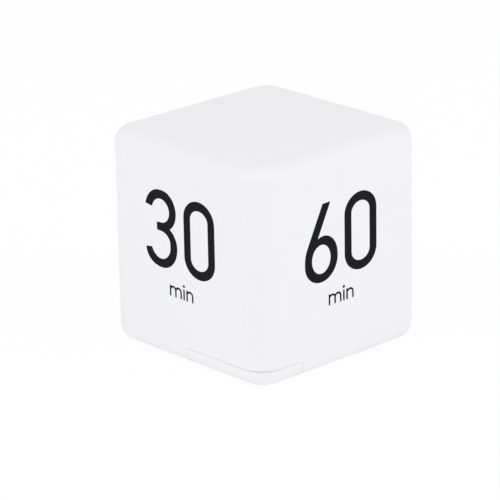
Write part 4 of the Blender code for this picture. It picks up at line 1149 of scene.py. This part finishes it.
# Display
# A clear acrylic window is set flush in the plate. Behind it a greenish glass panel, whose idle
# segments show faintly, lies in a moulded frame. Two striped rubber strips join it to the board.
window_edge = 0.1 * mm
panel_size = (33.6 * mm, 18.1 * mm)
panel_level = 2.3 * mm
panel_top = 4.1 * mm
panel_edge = 0.12 * mm
display_digits = (-9.0, -3.6, 3.6, 9.0)  # middles, in mm, seen from below
digit_width = 4.0
digit_height = 8.0
segment_width = 0.9
segment_gap = 0.15
dot_size = 0.5
digit_slant = 0.12
frame_x = 18.0 * mm
frame_y = (-1.5 * mm, 19.0 * mm)
frame_top = 8.1 * mm
frame_wall = 0.9 * mm
zebra_size = (33.6 * mm, 1.6 * mm)
zebra_level = 4.4 * mm
zebra_places = {"zebra_strip_1": 0.5 * mm, "zebra_strip_2": 17.0 * mm}
zebra_pitch = 0.25 * mm
stripe_blur = 0.2

window = block(0.0, display_y, *window_size, window_level, window_top, window_corner)
clear_acrylic = moulded(
    "clear_acrylic", (0.78, 0.8, 0.8), (0.84, 0.86, 0.86), 0.08, 0.001 * mm, Alpha=0.18
)
piece("display_window", window, "window_plastic", clear_acrylic, "lcd_window", edge=window_edge)

panel = block(0.0, display_y, *panel_size, panel_level, panel_top)
panel_glass = moulded(
    "panel_glass", (0.36, 0.39, 0.35), (0.4, 0.43, 0.38), 0.14, 0.001 * mm, 1.5 * mm
)
piece("display_panel", panel, "lcd_glass", panel_glass, "lcd_panel", edge=panel_edge)


def segment(u, v, length, upright):
    """A bar with pointed ends, centred on u and v: six corners, half a width in from each end."""
    end = length / 2 - segment_gap
    half_wide = segment_width / 2
    along = np.array((-end, half_wide - end, end - half_wide, end, end - half_wide, half_wide - end))
    across = np.array((0.0, -half_wide, -half_wide, 0.0, half_wide, half_wide))
    corners = (across, along) if upright else (along, across)
    return np.column_stack(corners) + (u, v)


def digit(u):
    """The seven bars of one digit, leaning to the right by a share of their height."""
    reach = digit_height / 2 - segment_width / 2
    bars = [segment(0.0, v, digit_width - segment_width, False) for v in (-reach, 0.0, reach)]
    for x in (segment_width / 2 - digit_width / 2, digit_width / 2 - segment_width / 2):
        for v in (-reach / 2, reach / 2):
            bars.append(segment(x, v, reach, True))
    return [bar + np.column_stack((u + digit_slant * bar[:, 1], 0.0 * bar[:, 0])) for bar in bars]


def under_place(level, x=0.0, y=0.0):
    """From a plane's own right and up to a face seen from below with +Y up, where right is -X."""
    return Matrix.Translation((x, y, level)) @ Matrix.Rotation(math.pi, 4, "Y")


colon = [
    ellipse(digit_slant * v, v, dot_size, dot_size) for v in (-digit_height / 5, digit_height / 5)
]
bars = sum((digit(u) for u in display_digits), colon)
segments = flat_print("display_segments", bars, under_place(panel_level, y=display_y))
idle_segments = moulded(
    "idle_segments", (0.29, 0.315, 0.28), (0.32, 0.345, 0.3), 0.2, 0.001 * mm, 1.5 * mm
)
present(segments, "lcd_glass", idle_segments, edge=None)

panel_frame = skin(
    "display_frame", tower(-frame_x, frame_x, *frame_y, panel_level, frame_top, frame_wall)
)
cut(panel_frame, tower(
    frame_wall - frame_x, frame_x - frame_wall, frame_y[0] + frame_wall, frame_y[1] - frame_wall,
    panel_level - overrun, frame_top + overrun,
))
black_abs = moulded("black_abs", (0.012, 0.012, 0.013), (0.02, 0.02, 0.021), 0.42)
present(panel_frame, "black_plastic", black_abs, "lcd_holder", edge=0.08 * mm)


def zebra(name):
    """Silicone rubber with a core of dark, conductive stripes across X between two pale skins."""
    material, tree, surface = surfaced(name, satin, {"Gloss": 0.55, "Patch size": 2.0 * mm})
    place = add_node(tree, "ShaderNodeTexCoord")["Object"]
    across = add_node(tree, "ShaderNodeSeparateXYZ", {0: place})["X"]
    turns = arithmetic(tree, "MULTIPLY", across, 2 * math.pi / zebra_pitch)
    wave = arithmetic(tree, "SINE", turns)
    span = {"Value": wave, "From Min": -stripe_blur, "From Max": stripe_blur}
    stripe = add_node(tree, "ShaderNodeMapRange", span)[0]
    rubber = blend(tree, surface["Shade"], (0.4, 0.38, 0.36, 1.0), (0.46, 0.44, 0.42, 1.0))
    color = blend(tree, stripe, (0.02, 0.02, 0.022, 1.0), rubber)
    close_material(tree, color, surface["Roughness"], surface["Height"], 0.004 * mm)
    return material


striped_rubber = zebra("striped_rubber")
for name, y in zebra_places.items():
    strip = block(0.0, y, *zebra_size, zebra_level, frame_top, corner=0.2 * mm)
    piece(f"{name}_rubber", strip, "zebra_rubber", striped_rubber, name, edge=0.06 * mm)


# Lamp
# A 5 mm lamp in milky red epoxy with a domed end, a collar with one flat, and two tinned legs
# through the board.
lamp_level = 0.4 * mm
lamp_radius = 2.5 * mm
collar_radius = 2.9 * mm
collar_level = 7.1 * mm
collar_top = 8.1 * mm
lamp_flat = 2.6 * mm
dome_steps = 20
pole = 88.0  # degrees to which a dome or a ball is turned
leg = 0.5 * mm
leg_spacing = 1.27 * mm
leg_root = 7.6 * mm
leg_end = 11.0 * mm

lamp_profile = (
    *edge_arc(0.0, lamp_level + lamp_radius, lamp_radius, -pole, 0.0, dome_steps),
    (lamp_radius, collar_level),
    (collar_radius, collar_level),
    (collar_radius, collar_top),
)
lamp_x, lamp_y = lamp_place
lamp = skin("lamp_body", turned(lamp_profile, lamp_x, lamp_y))
cut(lamp, tower(
    lamp_x + lamp_flat, lamp_x + 2 * lamp_flat, lamp_y - collar_radius, lamp_y + collar_radius,
    lamp_level, collar_top + overrun,
))
red_epoxy = moulded(
    "red_epoxy", (0.6, 0.012, 0.016), (0.7, 0.02, 0.024), 0.14, 0.001 * mm, Coat_Weight=0.3
)
present(lamp, "lamp_red", red_epoxy, "led", edge=0.05 * mm)
tinned = plated("tinned_wire", (0.6, 0.6, 0.6), (0.72, 0.72, 0.71), 0.24, 0.2 * mm)
for name, x in (("lamp_leg_1", lamp_x - leg_spacing), ("lamp_leg_2", lamp_x + leg_spacing)):
    pin = block(x, lamp_y, leg, leg, leg_root, leg_end)
    piece(name, pin, "contact_nickel", tinned, "led", edge=0.06 * mm)


# Beeper
# A brass disc with a silvered ceramic disc bonded on it lies in the plate's ring. Its two white
# leads are soldered on, one to the brass and one to the ceramic.
disc_radius = 6.0 * mm
disc_level = 2.9 * mm
disc_top = 3.2 * mm
ceramic_radius = 4.3 * mm
ceramic_top = 3.45 * mm
ceramic_edge = 0.06 * mm
lead_radius = 0.4 * mm
lead_lean = 1.1 * mm
lead_top = 8.1 * mm
solder_radius = 0.8 * mm
solder_height = 0.5 * mm
solder_end = 85.0  # degrees from its foot
solder_steps = 10
disc_sides = 96
lead_sides = 20
bend_steps = 10
sounder_leads = {
    "sounder_wire_1": (-17.85 * mm, disc_top), "sounder_wire_2": (-10.5 * mm, ceramic_top)
}


def tube(path, radius, bend=0.0):
    """Rings of a round lead along a path in a plane of constant X, with its bends rounded.

    Each bend is the arc that touches both straights. A ring of radius (cos t, sin t) stands across
    the path at each of its points, in the directions of X and of the path's own normal.
    """
    path = np.array(path, float)
    points = [path[:1]]
    for before, corner, after in zip(path, path[1:], path[2:]):
        back = (before - corner) / np.linalg.norm(before - corner)
        on = (after - corner) / np.linalg.norm(after - corner)
        half_angle = math.acos(np.clip(back @ on, -1.0, 1.0)) / 2
        middle = corner + (back + on) / np.linalg.norm(back + on) * bend / math.sin(half_angle)
        start = corner + back * bend / math.tan(half_angle) - middle
        end = corner + on * bend / math.tan(half_angle) - middle
        whole = math.pi - 2 * half_angle
        t = np.linspace(0.0, whole, bend_steps + 1)[:, None]
        points.append(middle + (start * np.sin(whole - t) + end * np.sin(t)) / math.sin(whole))
    points.append(path[-1:])
    line = np.vstack(points)
    heading = np.gradient(line, axis=0)
    heading /= np.linalg.norm(heading, axis=1)[:, None]
    across = np.array((1.0, 0.0, 0.0))
    normal = np.cross(heading, across)
    t = full_turn(lead_sides)[None, :, None]
    return line[:, None] + radius * (np.cos(t) * across + np.sin(t) * normal[:, None])


disc_x, disc_y = sounder_place
disc = rod(disc_x, disc_y, disc_level, disc_top, disc_radius, disc_sides)
brass = plated("brass", (0.6, 0.42, 0.17), (0.72, 0.52, 0.22), 0.3, 0.5 * mm)
piece("sounder_disc_brass", disc, "brass", brass, "sounder_disc", edge=0.04 * mm)
ceramic = rod(disc_x, disc_y, disc_top, ceramic_top, ceramic_radius, disc_sides)
silvered = moulded("silvered_ceramic", (0.6, 0.59, 0.56), (0.7, 0.69, 0.66), 0.5, 0.01 * mm)
piece(
    "sounder_ceramic_disc", ceramic, "sounder_ceramic", silvered, "sounder_ceramic",
    edge=ceramic_edge,
)
white_lead = moulded("white_lead", (0.72, 0.72, 0.71), (0.78, 0.78, 0.77), 0.4)
for name, (x, level) in sounder_leads.items():
    path = ((x, disc_y, level + lead_radius), (x, disc_y + lead_lean, lead_top))
    piece(f"{name}_lead", tube(path, lead_radius), "lead_white", white_lead, name)
    dome = edge_arc(0.0, 0.0, 1.0, 0.0, solder_end, solder_steps) * (solder_radius, solder_height)
    bead = turned(dome, x, disc_y, level)
    piece(f"{name}_solder", bead, "contact_nickel", tinned, name)


# Switch
# A slide switch on the board, with a plated frame and a black lever. The lever sits in a black knob
# that shows in the plate's pocket, below the words OFF and ON.
switch_size = (8.6 * mm, 3.8 * mm)
switch_level = 4.6 * mm
switch_slot = (4.7 * mm, 2.2 * mm)
switch_slot_top = 5.6 * mm
knob_x = 8.25 * mm
knob_neck = (4.6 * mm, 2.6 * mm)
knob_level = 0.3 * mm
flange_size = (10.2 * mm, 4.4 * mm)
flange_from = 2.3 * mm
flange_to = 3.3 * mm
prong = (0.8 * mm, 1.6 * mm)
prong_spacing = 1.5 * mm
prong_top = 4.3 * mm
groove_pitch = 1.15 * mm
groove_width = 0.383 * mm
groove_depth = 0.3 * mm
lever_width = 1.6 * mm
lever_from = 3.6 * mm
lever_to = 5.3 * mm
letter_height = 1.7
letter_width = 1.15
letter_pen = 0.28
letter_gap = 0.42
word_level = -3.15 * mm
word_ends = (6.1 * mm, 12.9 * mm)

switch_y = switch_place[1]
housing = skin(
    "switch_frame", block(*switch_place, *switch_size, switch_level, frame_top, corner=0.4 * mm)
)
cut(housing, block(*switch_place, *switch_slot, switch_level - overrun, switch_slot_top))
present(housing, "contact_nickel", nickel, "switch_housing", edge=0.08 * mm)
lever_size = (lever_width, lever_width, lever_from, lever_to)
lever = skin("switch_lever_block", block(knob_x, switch_y, *lever_size, corner=0.15 * mm))
present(lever, "black_plastic", black_abs, "switch_lever", body="switch_slider", edge=0.06 * mm)
flange_middle = (flange_from + flange_to) / 2
neck = block(knob_x, switch_y, *knob_neck, knob_level, flange_middle, corner=0.3 * mm)
knob = skin("switch_knob_cap", neck)
join(knob, block(knob_x, switch_y, *flange_size, flange_from, flange_to, corner=0.4 * mm))
for x in (knob_x - prong_spacing, knob_x + prong_spacing):
    join(knob, block(x, switch_y, *prong, flange_middle, prong_top))
groove = (groove_width, 2 * knob_neck[1], knob_level - overrun, knob_level + groove_depth)
for i in (-1, 0, 1):
    cut(knob, block(knob_x + groove_pitch * i, switch_y, *groove))
present(knob, "black_plastic", black_abs, "switch_knob", body="switch_slider", edge=0.08 * mm)


def letter(kind, u):
    """O, N or F from u to the right, standing on 0, in straight strokes and half ellipses."""
    wide, tall, thick = letter_width, letter_height, letter_pen
    if kind == "O":
        middle = (u + wide / 2, tall / 2)
        inner = ellipse(*middle, wide / 2 - thick, tall / 2 - thick)
        return [ellipse(*middle, wide / 2, tall / 2), inner]
    if kind == "N":
        slope = 1.3 * thick
        points = (
            (0.0, 0.0), (thick, 0.0), (thick, tall - 2 * slope), (wide - thick, 0.0), (wide, 0.0),
            (wide, tall), (wide - thick, tall), (wide - thick, 2 * slope), (thick, tall),
            (0.0, tall),
        )
    else:
        middle = 0.56 * tall
        short_bar = 0.82 * wide
        long_bar = 0.95 * wide
        points = (
            (0.0, 0.0), (thick, 0.0), (thick, middle - thick), (short_bar, middle - thick),
            (short_bar, middle), (thick, middle), (thick, tall - thick), (long_bar, tall - thick),
            (long_bar, tall), (0.0, tall),
        )
    return [np.array(points) + (u, 0.0)]


for word, x in (("OFF", word_ends[0]), ("ON", word_ends[1])):
    step = letter_width + letter_gap
    start = (letter_gap - step * len(word)) / 2
    loops = sum((letter(kind, start + step * i) for i, kind in enumerate(word)), [])
    place = under_place(ink, x, word_level - letter_height * mm / 2)
    item = flat_print(f"print_{word.lower()}", loops, place)
    present(item, "epoxy_black", black_ink, edge=None)


# Circuit board
# A green glass-fibre board on the plate's posts. It holds the display in its frame and carries all
# electric parts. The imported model's board is kept.


def laminate_board(name):
    """Green mask over glass fibre, with paler copper tracks in patches, and the cloth's weave.

    The tracks are the joints of a brick pattern, where a slow noise is high.
    """
    material, tree, surface = surfaced(name, satin, {"Gloss": 0.32, "Patch size": 5.0 * mm})
    place = add_node(tree, "ShaderNodeTexCoord")["Object"]
    bricks = {"Vector": place, "Scale": 1.0 / (4.0 * mm), "Mortar Size": 0.06}
    bricks.update({"Mortar Smooth": 0.1, "Brick Width": 1.7, "Row Height": 0.35})
    joint = add_node(tree, "ShaderNodeTexBrick", bricks)["Fac"]
    noise = {"Vector": place, "Scale": 1.0 / (5.0 * mm), "Detail": 0.0}
    patches = add_node(tree, "ShaderNodeTexNoise", noise)["Fac"]
    span = {"Value": patches, "From Min": 0.5, "From Max": 0.52}
    laid = add_node(tree, "ShaderNodeMapRange", span)[0]
    normal = add_node(tree, "ShaderNodeNewGeometry")["Normal"]
    upward = add_node(tree, "ShaderNodeSeparateXYZ", {"Vector": normal})["Z"]
    level_face = arithmetic(tree, "GREATER_THAN", arithmetic(tree, "ABSOLUTE", upward), 0.5)
    track = arithmetic(tree, "MULTIPLY", joint, laid)
    track = arithmetic(tree, "MULTIPLY", track, level_face)
    cloth = {"Vector": place, "Scale": 1.0 / (0.5 * mm)}
    weave = add_node(tree, "ShaderNodeTexChecker", cloth)["Fac"]
    mask = blend(tree, surface["Shade"], (0.008, 0.06, 0.022, 1.0), (0.012, 0.09, 0.035, 1.0))
    color = blend(tree, track, mask, (0.025, 0.17, 0.06, 1.0))
    height = arithmetic(tree, "ADD", arithmetic(tree, "MULTIPLY", track, 5.0), weave)
    close_material(tree, color, surface["Roughness"], height, 0.006 * mm)
    return material


finish_node("circuit_board", laminate_board("green_board"))


# Tilt switches
# Four ball switches lie on the board as a cross. Each has a plated can, an amber base with two
# legs, and a gilt brass ball that rolls to the low end and so tells which numbered side is down.
tilt_z = 12.9 * mm
tilt_centre = (0.0, 5.175 * mm, tilt_z)
tilt_base_radius = 2.6 * mm
tilt_base_from = 3.6 * mm
tilt_base_to = 5.1 * mm
plug_radius = 1.85 * mm
plug_to = 6.2 * mm
can_from = 5.4 * mm
can_to = 13.4 * mm
can_bore = 2.15 * mm
can_end = 0.5 * mm
can_eye = 0.1 * mm
can_round = 0.5 * mm
tilt_ball_radius = 1.85 * mm
tilt_ball_at = 10.75 * mm
ball_steps = 32
tilt_leg_at = 4.35 * mm
tilt_leg_spacing = 1.2 * mm
tilt_leg_from = 8.4 * mm
tilt_leg_to = 11.6 * mm
tilt_arms = {"px": 0.0, "py": 90.0, "nx": 180.0, "ny": 270.0}  # turn about Z from +X


def laid_down(turn, place):
    """From a piece built up along Z to its place, lying on its side and pointing to a turn."""
    down = Matrix.Rotation(math.pi / 2, 4, "Y")
    around = Matrix.Rotation(math.radians(turn), 4, "Z")
    return Matrix.Translation(place) @ around @ down


gilt = plated("gilt_ball", (0.66, 0.46, 0.2), (0.78, 0.56, 0.26), 0.12, 0.5 * mm)
amber = moulded("amber_phenolic", (0.5, 0.2, 0.035), (0.62, 0.27, 0.05), 0.35)
can_profile = (
    (tilt_base_radius, can_from),
    *curl(tilt_base_radius, can_to, can_round, 90.0),
    (can_eye, can_to),
    (can_eye, can_to - can_end),
    (can_bore, can_to - can_end),
    (can_bore, can_from),
)
base_profile = (
    (tilt_base_radius, tilt_base_from), (tilt_base_radius, tilt_base_to),
    (plug_radius, tilt_base_to), (plug_radius, plug_to),
)
ball_profile = edge_arc(0.0, tilt_ball_at, tilt_ball_radius, -pole, pole, ball_steps)
can, plug, ball = turned(can_profile), turned(base_profile), turned(ball_profile)
pin_depth = (tilt_z - tilt_leg_to, tilt_z - tilt_leg_from)
pin_heights = (tilt_leg_at - leg / 2, tilt_leg_at + leg / 2)
for arm, turn in tilt_arms.items():
    tilt, base = f"tilt_{arm}", f"tilt_base_{arm}"
    laid = {"place": laid_down(turn, tilt_centre)}
    piece(f"{tilt}_can", can, "contact_nickel", nickel, f"tilt_can_{arm}", hollow=True, **laid)
    piece(f"{tilt}_base", plug, "amber_base", amber, base, edge=0.1 * mm, **laid)
    for number, y in enumerate((-tilt_leg_spacing, tilt_leg_spacing), 1):
        pin = tower(*pin_depth, y - leg / 2, y + leg / 2, *pin_heights)
        piece(f"{tilt}_leg_{number}", pin, "contact_nickel", tinned, base, edge=0.06 * mm, **laid)
    piece(f"{tilt}_ball", ball, "brass", gilt, f"tilt_ball_{arm}", body=f"ball_{arm}", **laid)


# Parts on the board
# The bare controller chip under a drop of black resin, the crystal's can, and the coil,
# electrolytic capacitor, transistor and resistors of the lamp and beeper drive.
part_level = 10.3 * mm
blob_place = (-10.925 * mm, -10.5 * mm)
blob_radius = 5.0 * mm
blob_height = 1.6 * mm
blob_waver = 0.03
blob_pole = 87.0
blob_steps = 16
blob_sides = 64
crystal_radius = 1.5 * mm
crystal_from = 10.55 * mm
crystal_to = 18.55 * mm
crystal_at = (-10.2 * mm, 11.8 * mm)
crystal_round = 0.35 * mm
coil_place = (-7.6 * mm, 15.475 * mm)
coil_radius = 3.0 * mm
coil_height = 5.0 * mm
coil_flange = 0.8 * mm
winding_radius = 2.7 * mm
winding_pitch = 0.3 * mm
winding_steps = 90
capacitor_place = (7.6 * mm, 15.475 * mm)
capacitor_radius = 2.5 * mm
capacitor_height = 7.0 * mm
capacitor_foot = 0.3 * mm
capacitor_waist = 0.2 * mm
waist_level = 1.2 * mm
waist_reach = 0.3 * mm
sleeve_curl = 0.35 * mm
lid_margin = 0.6 * mm
lid_depth = 0.15 * mm
lid_thickness = 0.3 * mm
lid_rise = 0.05 * mm
lid_play = 0.02 * mm
vent_length = 3.0 * mm
vent_width = 0.2 * mm
transistor_place = (6.5 * mm, -0.525 * mm)
transistor_radius = 2.3 * mm
transistor_height = 4.6 * mm
transistor_flat = 5.35 * mm
resistor_places = (5.0 * mm, 9.0 * mm, 13.0 * mm)
resistor_y = 10.175 * mm
resistor_size = (3.2 * mm, 1.6 * mm)
resistor_height = 0.6 * mm
resistor_end = 0.5 * mm
end_overlap = 0.03 * mm

# A drop of resin: its rings follow a quarter ellipse. Their radius wavers with the turn a, and is
# less there by a share of blob_waver (1 + sin(3 a + 0.7) cos(2 a)) / 2.
t = np.linspace(0.0, math.radians(blob_pole), blob_steps + 1)[:, None]
around = full_turn(blob_sides)
waver = 1 - blob_waver * (1 + np.sin(3 * around + 0.7) * np.cos(2 * around)) / 2
radius = blob_radius * np.cos(t) * waver
drop = about_axis(radius, around, part_level + blob_height * np.sin(t), *blob_place)
black_resin = moulded(
    "black_resin", (0.006, 0.006, 0.007), (0.012, 0.012, 0.013), 0.22, 0.006 * mm, 1.0 * mm
)
piece("controller_drop", drop, "epoxy_black", black_resin, "controller_blob")

crystal_profile = (
    *curl(crystal_radius, 0.0, crystal_round, -90.0),
    *curl(crystal_radius, crystal_to - crystal_from, crystal_round, 90.0),
)
crystal = turned(crystal_profile, sides=48)
place = laid_down(0.0, (crystal_from, *crystal_at))
piece("crystal_can", crystal, "contact_nickel", nickel, "crystal", place=place)

ferrite = moulded("ferrite", (0.025, 0.024, 0.023), (0.045, 0.042, 0.04), 0.6, 0.02 * mm)
copper = plated("enamelled_copper", (0.42, 0.13, 0.05), (0.55, 0.19, 0.075), 0.25, 0.3 * mm)
core_profile = (
    (coil_radius, 0.0), (coil_radius, coil_flange), (coil_radius / 2, coil_flange),
    (coil_radius / 2, coil_height - coil_flange), (coil_radius, coil_height - coil_flange),
    (coil_radius, coil_height),
)
core = turned(core_profile, *coil_place, part_level)
piece("coil_core", core, "ferrite", ferrite, "boost_coil", edge=0.08 * mm)
# The winding's turns are half circles on its outside: radius plus half a pitch times |sin|.
height = np.linspace(coil_flange, coil_height - coil_flange, winding_steps + 1)
wave = np.abs(np.sin(math.pi * (height - coil_flange) / winding_pitch))
radius = winding_radius - winding_pitch * (1 - wave) / 2
winding = turned(np.column_stack((radius, height)), *coil_place, part_level)
piece("coil_winding", winding, "brass", copper, "boost_coil")

# The capacitor's sleeve is drawn in above its foot, and its aluminium lid is scored with a cross.
capacitor_profile = (
    *curl(capacitor_radius, 0.0, capacitor_foot, -90.0),
    (capacitor_radius, waist_level - waist_reach),
    (capacitor_radius - capacitor_waist, waist_level),
    (capacitor_radius, waist_level + waist_reach),
    *curl(capacitor_radius, capacitor_height, sleeve_curl, 90.0),
)
capacitor = skin("capacitor_sleeve", turned(capacitor_profile, *capacitor_place, part_level))
lid_radius = capacitor_radius - lid_margin
lid_level = part_level + capacitor_height - lid_depth
cut(capacitor, rod(*capacitor_place, lid_level, lid_level + overrun, lid_radius))
black_sleeve = moulded("black_sleeve", (0.01, 0.011, 0.014), (0.018, 0.019, 0.024), 0.3)
present(capacitor, "black_plastic", black_sleeve, "filter_capacitor")
lid_rings = rod(
    *capacitor_place, lid_level - lid_thickness, lid_level + lid_rise, lid_radius - lid_play
)
lid = skin("capacitor_lid", lid_rings)
for length, width in ((vent_length, vent_width), (vent_width, vent_length)):
    cut(lid, block(*capacitor_place, length, width, lid_level, lid_level + overrun))
aluminium = plated("aluminium_can", (0.66, 0.66, 0.66), (0.78, 0.78, 0.78), 0.32, 0.4 * mm)
present(lid, "contact_nickel", aluminium, "filter_capacitor", edge=0.02 * mm)

transistor_y = transistor_place[1]
transistor_top = part_level + transistor_height
transistor = skin(
    "transistor_body", rod(*transistor_place, part_level, transistor_top, transistor_radius, 64)
)
cut(transistor, tower(
    transistor_flat - 2 * transistor_radius, transistor_flat, transistor_y - 2 * transistor_radius,
    transistor_y + 2 * transistor_radius, part_level - overrun, transistor_top + overrun,
))
present(transistor, "black_plastic", black_abs, "transistor", edge=0.12 * mm)

thick_film = moulded("thick_film", (0.012, 0.012, 0.013), (0.02, 0.02, 0.022), 0.3)
length, width = resistor_size
chip_size = (length - 2 * end_overlap, width - 2 * end_overlap)
resistor_top = part_level + resistor_height
chip_heights = (part_level + end_overlap, resistor_top - end_overlap)
resistor_sides = (resistor_y - width / 2, resistor_y + width / 2)
for i, x in enumerate(resistor_places, 1):
    name = f"resistor_{i}"
    chip = block(x, resistor_y, *chip_size, *chip_heights)
    piece(f"{name}_chip", chip, "black_plastic", thick_film, name, edge=0.04 * mm)
    for number, end in enumerate((x - length / 2, x + length / 2 - resistor_end), 1):
        cap = tower(end, end + resistor_end, *resistor_sides, part_level, resistor_top)
        piece(f"{name}_end_{number}", cap, "contact_nickel", tinned, name, edge=0.05 * mm)


# Leads
# A red and a black insulated lead run from the upper contacts' tails over the well, and down its
# side to the board.
cell_lead_radius = 0.65 * mm
lead_bend = 2.0 * mm
lead_over = 54.0 * mm
lead_down = -15.05 * mm
lead_foot = 10.95 * mm
lead_ends = (-22.25 * mm, -12.05 * mm)
leads = {
    "wire_black": (cell_a_x, "lead_black", (0.008, 0.008, 0.009), (0.015, 0.015, 0.016)),
    "wire_red": (cell_b_x, "lead_red", (0.5, 0.012, 0.012), (0.6, 0.02, 0.018)),
}
for name, (x, slot, dark, light) in leads.items():
    path = (
        (x, lead_ends[0], lead_over), (x, lead_down, lead_over), (x, lead_down, lead_foot),
        (x, lead_ends[1], lead_foot),
    )
    lead = tube(path, cell_lead_radius, lead_bend)
    piece(f"{name}_lead", lead, slot, moulded(f"{slot}_cover", dark, light, 0.38), name)
